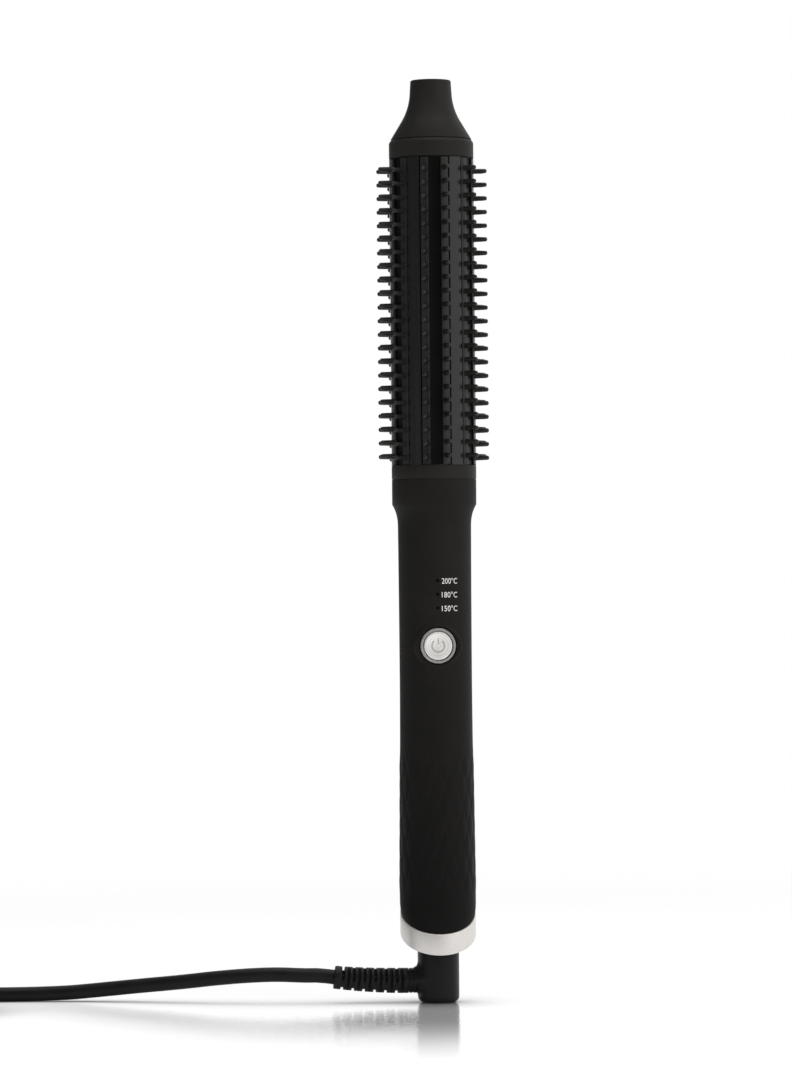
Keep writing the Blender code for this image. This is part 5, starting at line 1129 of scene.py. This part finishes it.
# The arm's end, as steps back along it and radii: a rounded rim, a lip and the socket
end_rows = np.array([
    (0.15, ARM_R), (0.04, ARM_R - 0.05), (0.0, ARM_R - 0.17), (0.0, 4.3), (-0.26, 4.3),
    (-0.26, 3.1), (8.0, 3.1),
])[:, :, None] + 0 * around
plain = np.linspace(0, 1, 16)[1:-1, None]
plain_x = throat_x[-1] * (1 - plain) + (ARM_END + 0.15) * plain
arm_x = np.concatenate([mouth_x[None] + 0.6, throat_x, plain_x, ARM_END + end_rows[:, 0]])
arm_r = np.concatenate([mouth_r[None], throat_r, ARM_R + 0 * plain_x, end_rows[:, 1]])
for groove_x in (-8.35, -9.9):  # two shallow grooves round the arm
    arm_r = arm_r - 0.25 * np.exp(-(((arm_x - groove_x) / 0.2) ** 2))
arm = np.stack([arm_x, arm_r * np.sin(around), ARM_Z + arm_r * np.cos(around)], axis=-1)
piece(
    "swivel_elbow_moulding", joined([turned(post, 128), skin(arm * MM, wrap_columns=True)]),
    ELBOW_ABS, "swivel", ("swivel_elbow",), 40.0,
)

# %% Strain relief
SLOTS, FIRST_SLOT, SLOT_PITCH, SLOT_WIDTH = 12, 2.1, 2.05, 0.95
CORE, SLEEVE_BORE = 1.8, 2.85
# Each row of the sleeve is of one kind: full, softened, at an edge, in a slot, or at the end
FULL, SOFT, EDGE, SIDE_CUT, WRAP_CUT, LAST_CUT, END, BORE = range(8)
along, kind = [0.0, 0.04, 0.15, 0.4], [EDGE, SOFT, SOFT, FULL]
for k in range(SLOTS):
    at = FIRST_SLOT + SLOT_PITCH * k
    cut = LAST_CUT if k == SLOTS - 1 else (SIDE_CUT, WRAP_CUT)[k % 2]
    far = at + SLOT_WIDTH
    along += [at - 0.32, at - 0.14, at - 0.03, at, at + 0.02]
    along += [far - 0.02, far, far + 0.03, far + 0.14, far + 0.32]
    kind += [FULL, SOFT, EDGE, cut, cut, cut, cut, EDGE, SOFT, FULL]
along += [RELIEF_LENGTH - 0.3, RELIEF_LENGTH - 0.1, RELIEF_LENGTH, RELIEF_LENGTH]
kind += [FULL, SOFT, END, BORE]
along, kind = np.array(along), np.array(kind)[:, None]
around = np.linspace(0, math.tau, 96, endpoint=False)[None, :]
full = np.interp(along, [0, 6.2, RELIEF_LENGTH], [4.8, 4.8, 4.4])[:, None] + 0 * around
from_top = np.degrees(np.arccos(np.cos(around)))
side_cut = np.minimum(full, CORE / np.maximum(np.abs(np.sin(around)), 1e-6))
wrap_turn = [0, 18, 24, 112, 120, 134, 142, 180]
wrap_cut = full - np.interp(from_top, wrap_turn, [0.35, 0.35, 2.8, 2.8, 0.15, 0.15, 0.9, 0.9])
last_cut = full - np.interp(from_top, wrap_turn, [1.5, 1.5, 2.8, 2.8, 0.15, 0.15, 0.9, 0.9])
radii = {
    SOFT: full - 0.05, EDGE: full - 0.17, SIDE_CUT: side_cut, WRAP_CUT: wrap_cut,
    LAST_CUT: last_cut, END: full - 0.2, BORE: SLEEVE_BORE + 0 * full,
}
relief_r = np.select([kind == which for which in radii], list(radii.values()), full)
relief = relief_point(along[:, None], relief_r * np.cos(around), relief_r * np.sin(around))
piece(
    "strain_relief_sleeve", skin(relief * MM, wrap_columns=True, caps=True), RELIEF_PVC, "swivel",
    ("strain_relief",), 40.0,
)

# %% [markdown]
# ## Ties and plug
#
# Two soft straps hold the coil, pulled tight round the bundle of turns, so a strap follows the
# outline that a string pulled round them would take. The plug is a flat two-pin one: its body is
# a row of rounded rectangles whose width swells and narrows along its length.

# %% Straps round the coil
STRAP_HALF, STRAP_AWAY = 4.0, 0.33  # half a strap's width, and its clearance round the cord
# Woven polyester: dull, with a soft light along its edges from the fibres. Its threads are drawn
# 0.9 mm apart, three times as coarse as real ones, so that the weave shows
STRAP_WEAVE, tree, shader, where = new_material(
    "strap_polyester_woven", "#1a1a1a", 0.85, Sheen_Weight=0.15
)
warp, weft = (
    add(
        tree, "TexWave", {"Vector": where, "Scale": wave_scale(0.9), "Distortion": 0.5},
        bands_direction=way,
    ).outputs["Fac"]
    for way in "ZX"
)
cross = add(tree, "Math", {0: warp, 1: weft}, operation="MULTIPLY").outputs["Value"]
live(tree, shader, cross, ("#141414", "#242424"), cross, 0.1, 0.7)


def strap(degrees):
    """A flat band round the turns at one angle: the hull of their circles, drawn out sideways."""
    out = np.array([math.cos(math.radians(degrees)), math.sin(math.radians(degrees)), 0])
    across = np.array([out[1], -out[0], 0])
    near = coil - COIL_MIDDLE
    near = near[(np.abs(near @ across) < STRAP_HALF) & (near @ out > 0)]
    ring = np.stack([near @ out, near[:, 2]], axis=-1)
    spread = circle(CORD_D / 2 + STRAP_AWAY, 36)
    cloud = (ring[:, None, :] + spread[None, :, :]).reshape(-1, 2)
    hull = cloud[convex_hull_2d([Vector(p) for p in cloud])]
    step = np.linalg.norm(np.diff(hull, axis=0, append=hull[:1]), axis=1)
    run = np.concatenate([[0], np.cumsum(step)])
    loop = np.concatenate([hull, hull[:1]])
    even = np.linspace(0, run[-1], 96, endpoint=False)
    line = np.stack([np.interp(even, run, loop[:, k]) for k in range(2)], axis=-1)
    way = unit(np.roll(line, -1, axis=0) - np.roll(line, 1, axis=0))
    normal = np.stack([way[:, 1], -way[:, 0]], axis=-1)
    normal *= np.sign(((line - line.mean(axis=0)) * normal).sum(axis=1).mean())
    section = [(0.0, -STRAP_HALF), (0.0, STRAP_HALF)]
    section += [(0.15, 4.1), (0.45, 4.05), (0.6, 3.9), (0.6, -3.9), (0.45, -4.05), (0.15, -4.1)]
    threads = []
    for lift, side in section:
        raised = line + normal * lift
        threads.append(raised[:, :1] * out + raised[:, 1:] * [0, 0, 1] + across * side)
    points = np.stack(threads, axis=1)
    points[..., 2] = np.maximum(points[..., 2], 0.0)
    return skin((points + COIL_MIDDLE) * MM, wrap_rows=True, wrap_columns=True)


for number, degrees in ((1, 20.0), (2, 200.0)):
    tie = f"coil_tie_{number}"
    piece(
        f"coil_strap_{number}", strap(degrees), STRAP_WEAVE, "swivel", (tie,)
    )
    dress(tie, STRAP_WEAVE)

# %% Plug
PLUG_LONG, PLUG_ROWS = 50.0, 101
nose_end = PLUG_ENTRY[0] - 0.3
x_mm = np.array([0, 0.3, 1, 5, 9, 14, 18, 24, 32, 38, 44, 48.5, 49.6, PLUG_LONG])
half_w = np.array([3.4, 3.9, 4.1, 4.4, 4.8, 5.4, 7.8, 12.2, 16.0, 17.6, 17.3, 16.5, 16.0, 15.2])
half_t = np.array([3.4, 3.9, 4.1, 4.4, 4.8, 5.2, 5.7, 6.2, 6.7, 6.85, 6.8, 6.7, 6.3, 5.6])
fine_x = np.linspace(0, PLUG_LONG, PLUG_ROWS)
w, t = np.interp(fine_x, x_mm, half_w), np.interp(fine_x, x_mm, half_t)
kernel = np.array([1, 4, 6, 4, 1]) / 16  # smooths the widths over five rows
w[2:-2], t[2:-2] = np.convolve(w, kernel, "valid"), np.convolve(t, kernel, "valid")
power = np.interp(fine_x, [0, 12, 26, PLUG_LONG], [1.0, 1.0, 0.5, 0.42])[:, None]
a = np.linspace(0, math.tau, 64, endpoint=False)[None, :]
# Grooves for the fingers at the cord's end: two rows of every four are drawn in
in_groove = np.isin(np.arange(PLUG_ROWS) % 4, (1, 2)) & (fine_x > 2) & (fine_x < 13)
grooves = 0.3 * in_groove[:, None]
y = (w[:, None] - grooves) * np.sign(np.cos(a)) * np.abs(np.cos(a)) ** power
z = (t[:, None] - grooves) * np.sign(np.sin(a)) * np.abs(np.sin(a)) ** power
x = nose_end - fine_x[:, None] + 0 * a
plug_points = np.stack([x, PLUG_ENTRY[1] + y, PLUG_ENTRY[2] + z], axis=-1)
plug = piece(
    "plug_moulding", skin(plug_points * MM, wrap_columns=True, caps=True), PLUG_PVC, "swivel",
    ("plug_body",), 50.0,
)
tuple(relief_point(RELIEF_LENGTH - 1.0, 0.0, 0.0) * MM)

# %% [markdown]
# ## Table and light
#
# The brush stands on a sheet of white acrylic that runs into a white wall. Three things make it.
# Its white comes from its colour and a little glow that lights nothing. A mirror skin repeats the
# foot and fades with the distance from it, since the sheet mirrors less where one looks down on
# it more steeply. A narrow band of shade lies where the foot and the cord touch it. The room is
# dark at the left and bright at the right, because black plastic is seen by what it mirrors: that
# is what gives each black piece one lit side. Three large soft lamps add the rest.

# %% Table
TABLE_HALF = 2.4
GLOW, WAVE_DEPTH = 0.24, 0.05 * MM  # the sheet's own light, and the depth of its skin's waves
MIRROR_SHARE, MIRROR_FROM, MIRROR_TO = 0.858, 0.06, 0.26  # at the foot; metres where it fades out
SHADE_SHARE, SHADE_REACH = 0.75, 0.026  # the contact shade at its darkest; metres it looks round
WHITE_FROM, WHITE_TO = 0.35, 0.8  # metres from the foot over which the sheet turns plain white


def any_ray(tree, *kinds):
    """1 for a ray of one of these kinds, else 0: the maximum of the ray's own answers."""
    path = add(tree, "LightPath")
    answer = path.outputs[kinds[0]]
    for kind in kinds[1:]:
        most = add(tree, "Math", {0: answer, 1: path.outputs[kind]}, operation="MAXIMUM")
        answer = most.outputs["Value"]
    return answer


corners = [(-TABLE_HALF, -TABLE_HALF), (TABLE_HALF, -TABLE_HALF)]
corners += [(TABLE_HALF, TABLE_HALF), (-TABLE_HALF, TABLE_HALF)]
table_mesh = bpy.data.meshes.new("table")
table_mesh.from_pydata([(x, y, 0.0) for x, y in corners], [], [[0, 1, 2, 3]])
table = in_scene("table", table_mesh)
table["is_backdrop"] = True
# White acrylic sheet: a matt white body, with a mirror skin that shows at this low angle
TABLE_WHITE, tree, shader, where = new_material(
    "table_acrylic_white", "#f6f6f6", 0.5, 0.0, Specular_IOR_Level=0.0
)
# The sheet's waviness is far finer than this; drawn 0.9 mm wide, its slopes blur the mirror
# image upright more than sideways, as a real sheet does at a low angle
haze = add(tree, "TexNoise", {"Vector": where, "Scale": per_metre(0.9), "Detail": 1.0})
ripple = add(
    tree, "Bump", {"Height": haze.outputs["Fac"], "Distance": WAVE_DEPTH, "Strength": 1.0}
)
mirror = add(
    tree, "BsdfPrincipled",
    {"Base Color": WHITE, "Metallic": 1.0, "Roughness": 0.0, "Normal": ripple.outputs["Normal"]},
)
glow = add(tree, "Emission", {"Color": WHITE, "Strength": GLOW})
body = add(tree, "AddShader", {0: shader.outputs["BSDF"], 1: glow.outputs["Emission"]})
# The mirror weakens towards the camera, where one looks down on the sheet more steeply
squeezed = add(tree, "Mapping", {"Vector": where, "Scale": (1.3, 1.0, 1.0)})
from_foot = add(tree, "VectorMath", {0: squeezed.outputs["Vector"]}, operation="LENGTH")
mirror_share = add(
    tree, "MapRange",
    zip(RANGE, (from_foot.outputs["Value"], MIRROR_FROM, MIRROR_TO, MIRROR_SHARE, 0.0)),
    interpolation_type="SMOOTHSTEP",
)
# Seen from above the gloss goes almost entirely, as on any plastic
grazing = add(tree, "LayerWeight", {"Blend": 0.5})
gloss_share = add(
    tree, "Math",
    {0: mirror_share.outputs["Result"], 1: grazing.outputs["Facing"]}, operation="MULTIPLY",
)
sheet = add(
    tree, "MixShader",
    {"Fac": gloss_share.outputs["Value"], 1: body.outputs["Shader"], 2: mirror.outputs["BSDF"]},
)
# Where the brush and the cord touch the sheet they shade a narrow band of it
nearby = add(tree, "AmbientOcclusion", {"Distance": SHADE_REACH}, samples=12, only_local=False)
dim = add(tree, "MapRange", zip(RANGE, (nearby.outputs["AO"], 0.25, 0.97, SHADE_SHARE, 0.0)))
dark = add(tree, "Emission", {"Color": (0.0, 0.0, 0.0, 1.0), "Strength": 0.0})
sheet = add(
    tree, "MixShader",
    {"Fac": dim.outputs["Result"], 1: sheet.outputs["Shader"], 2: dark.outputs["Emission"]},
)
# Far from the foot the sheet turns plain white, so that it has no edge against the wall
far_white = add(tree, "Emission", {"Color": WHITE, "Strength": 1.0})
way_off = add(tree, "VectorMath", {0: where}, operation="LENGTH")
fade = add(
    tree, "MapRange", zip(RANGE, (way_off.outputs["Value"], WHITE_FROM, WHITE_TO)),
    interpolation_type="SMOOTHSTEP",
)
seen = add(
    tree, "MixShader",
    {"Fac": fade.outputs["Result"], 1: sheet.outputs["Shader"], 2: far_white.outputs["Emission"]},
)
# All this is for the eye and for mirrors; the light that the sheet throws back is plain white's
by_eye = any_ray(tree, "Is Camera Ray", "Is Glossy Ray", "Is Transmission Ray")
last = add(
    tree, "MixShader", {"Fac": by_eye, 1: shader.outputs["BSDF"], 2: seen.outputs["Shader"]}
)
tree.links.new(last.outputs["Shader"], tree.nodes["Material Output"].inputs["Surface"])
table_mesh.materials.append(TABLE_WHITE)

# %% Room and lamps
ROOM_LIGHT = 0.45  # strength of the white light that the room gives from all round
DARK_WALL, DARK_UNTIL, BRIGHT_FROM = 0.14, -0.3, 0.22  # the mirrored walls, by how far right
world = bpy.data.worlds.new("white_room")
bpy.context.scene.world = world
world.use_nodes = True
tree = world.node_tree
room = tree.nodes["Background"]
room.inputs["Color"].default_value = WHITE
room.inputs["Strength"].default_value = ROOM_LIGHT
# What satin pieces mirror: a dark wall at the front and left, a bright one at the right. The
# table's sharp mirror is left out of this and sees white all round
towards = add(tree, "TexCoord").outputs["Generated"]
rightward = add(tree, "VectorMath", {0: towards, 1: (0.95, 0.3, 0.0)}, operation="DOT_PRODUCT")
mirrored = add(
    tree, "MapRange",
    zip(RANGE, (rightward.outputs["Value"], DARK_UNTIL, BRIGHT_FROM, DARK_WALL, 1.0)),
    interpolation_type="SMOOTHSTEP",
)
gloss = add(tree, "Background", {"Color": WHITE, "Strength": mirrored.outputs["Result"]})
wall = add(tree, "Background", {"Color": WHITE, "Strength": 1.0})
by_gloss = add(
    tree, "MixShader",
    {
        "Fac": any_ray(tree, "Is Glossy Ray"),
        1: room.outputs["Background"], 2: gloss.outputs["Background"],
    },
)
by_eye = any_ray(tree, "Is Camera Ray", "Is Transmission Ray", "Is Singular Ray")
choice = add(
    tree, "MixShader",
    {"Fac": by_eye, 1: by_gloss.outputs["Shader"], 2: wall.outputs["Background"]},
)
tree.links.new(choice.outputs["Shader"], tree.nodes["World Output"].inputs["Surface"])


def soft_lamp(name, place, aim, size, watts):
    """A square soft lamp that faces its aim."""
    data = bpy.data.lights.new(name, "AREA")
    data.shape = "RECTANGLE"
    data.size, data.size_y = size
    data.energy = watts
    lamp = in_scene(name, data)
    lamp.location = place
    lamp.rotation_euler = (Vector(aim) - Vector(place)).to_track_quat("-Z", "Y").to_euler()
    return lamp


right = soft_lamp("lamp_right", (1.1, -0.9, 0.7), (0, 0, 0.17), (0.7, 1.1), 9.0)
left = soft_lamp("lamp_left", (-1.3, -0.9, 0.6), (0, 0, 0.17), (0.6, 1.0), 3.5)
right.visible_glossy = left.visible_glossy = False  # the room's own walls give the reflections
soft_lamp("lamp_above", (0.0, -0.1, 1.6), (0, 0, 0.0), (1.2, 1.2), 9.0)
print("table, room and three lamps ready")

low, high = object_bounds()
print("visual box in mm:", [round((b - a) * 1000, 1) for a, b in zip(low, high)])
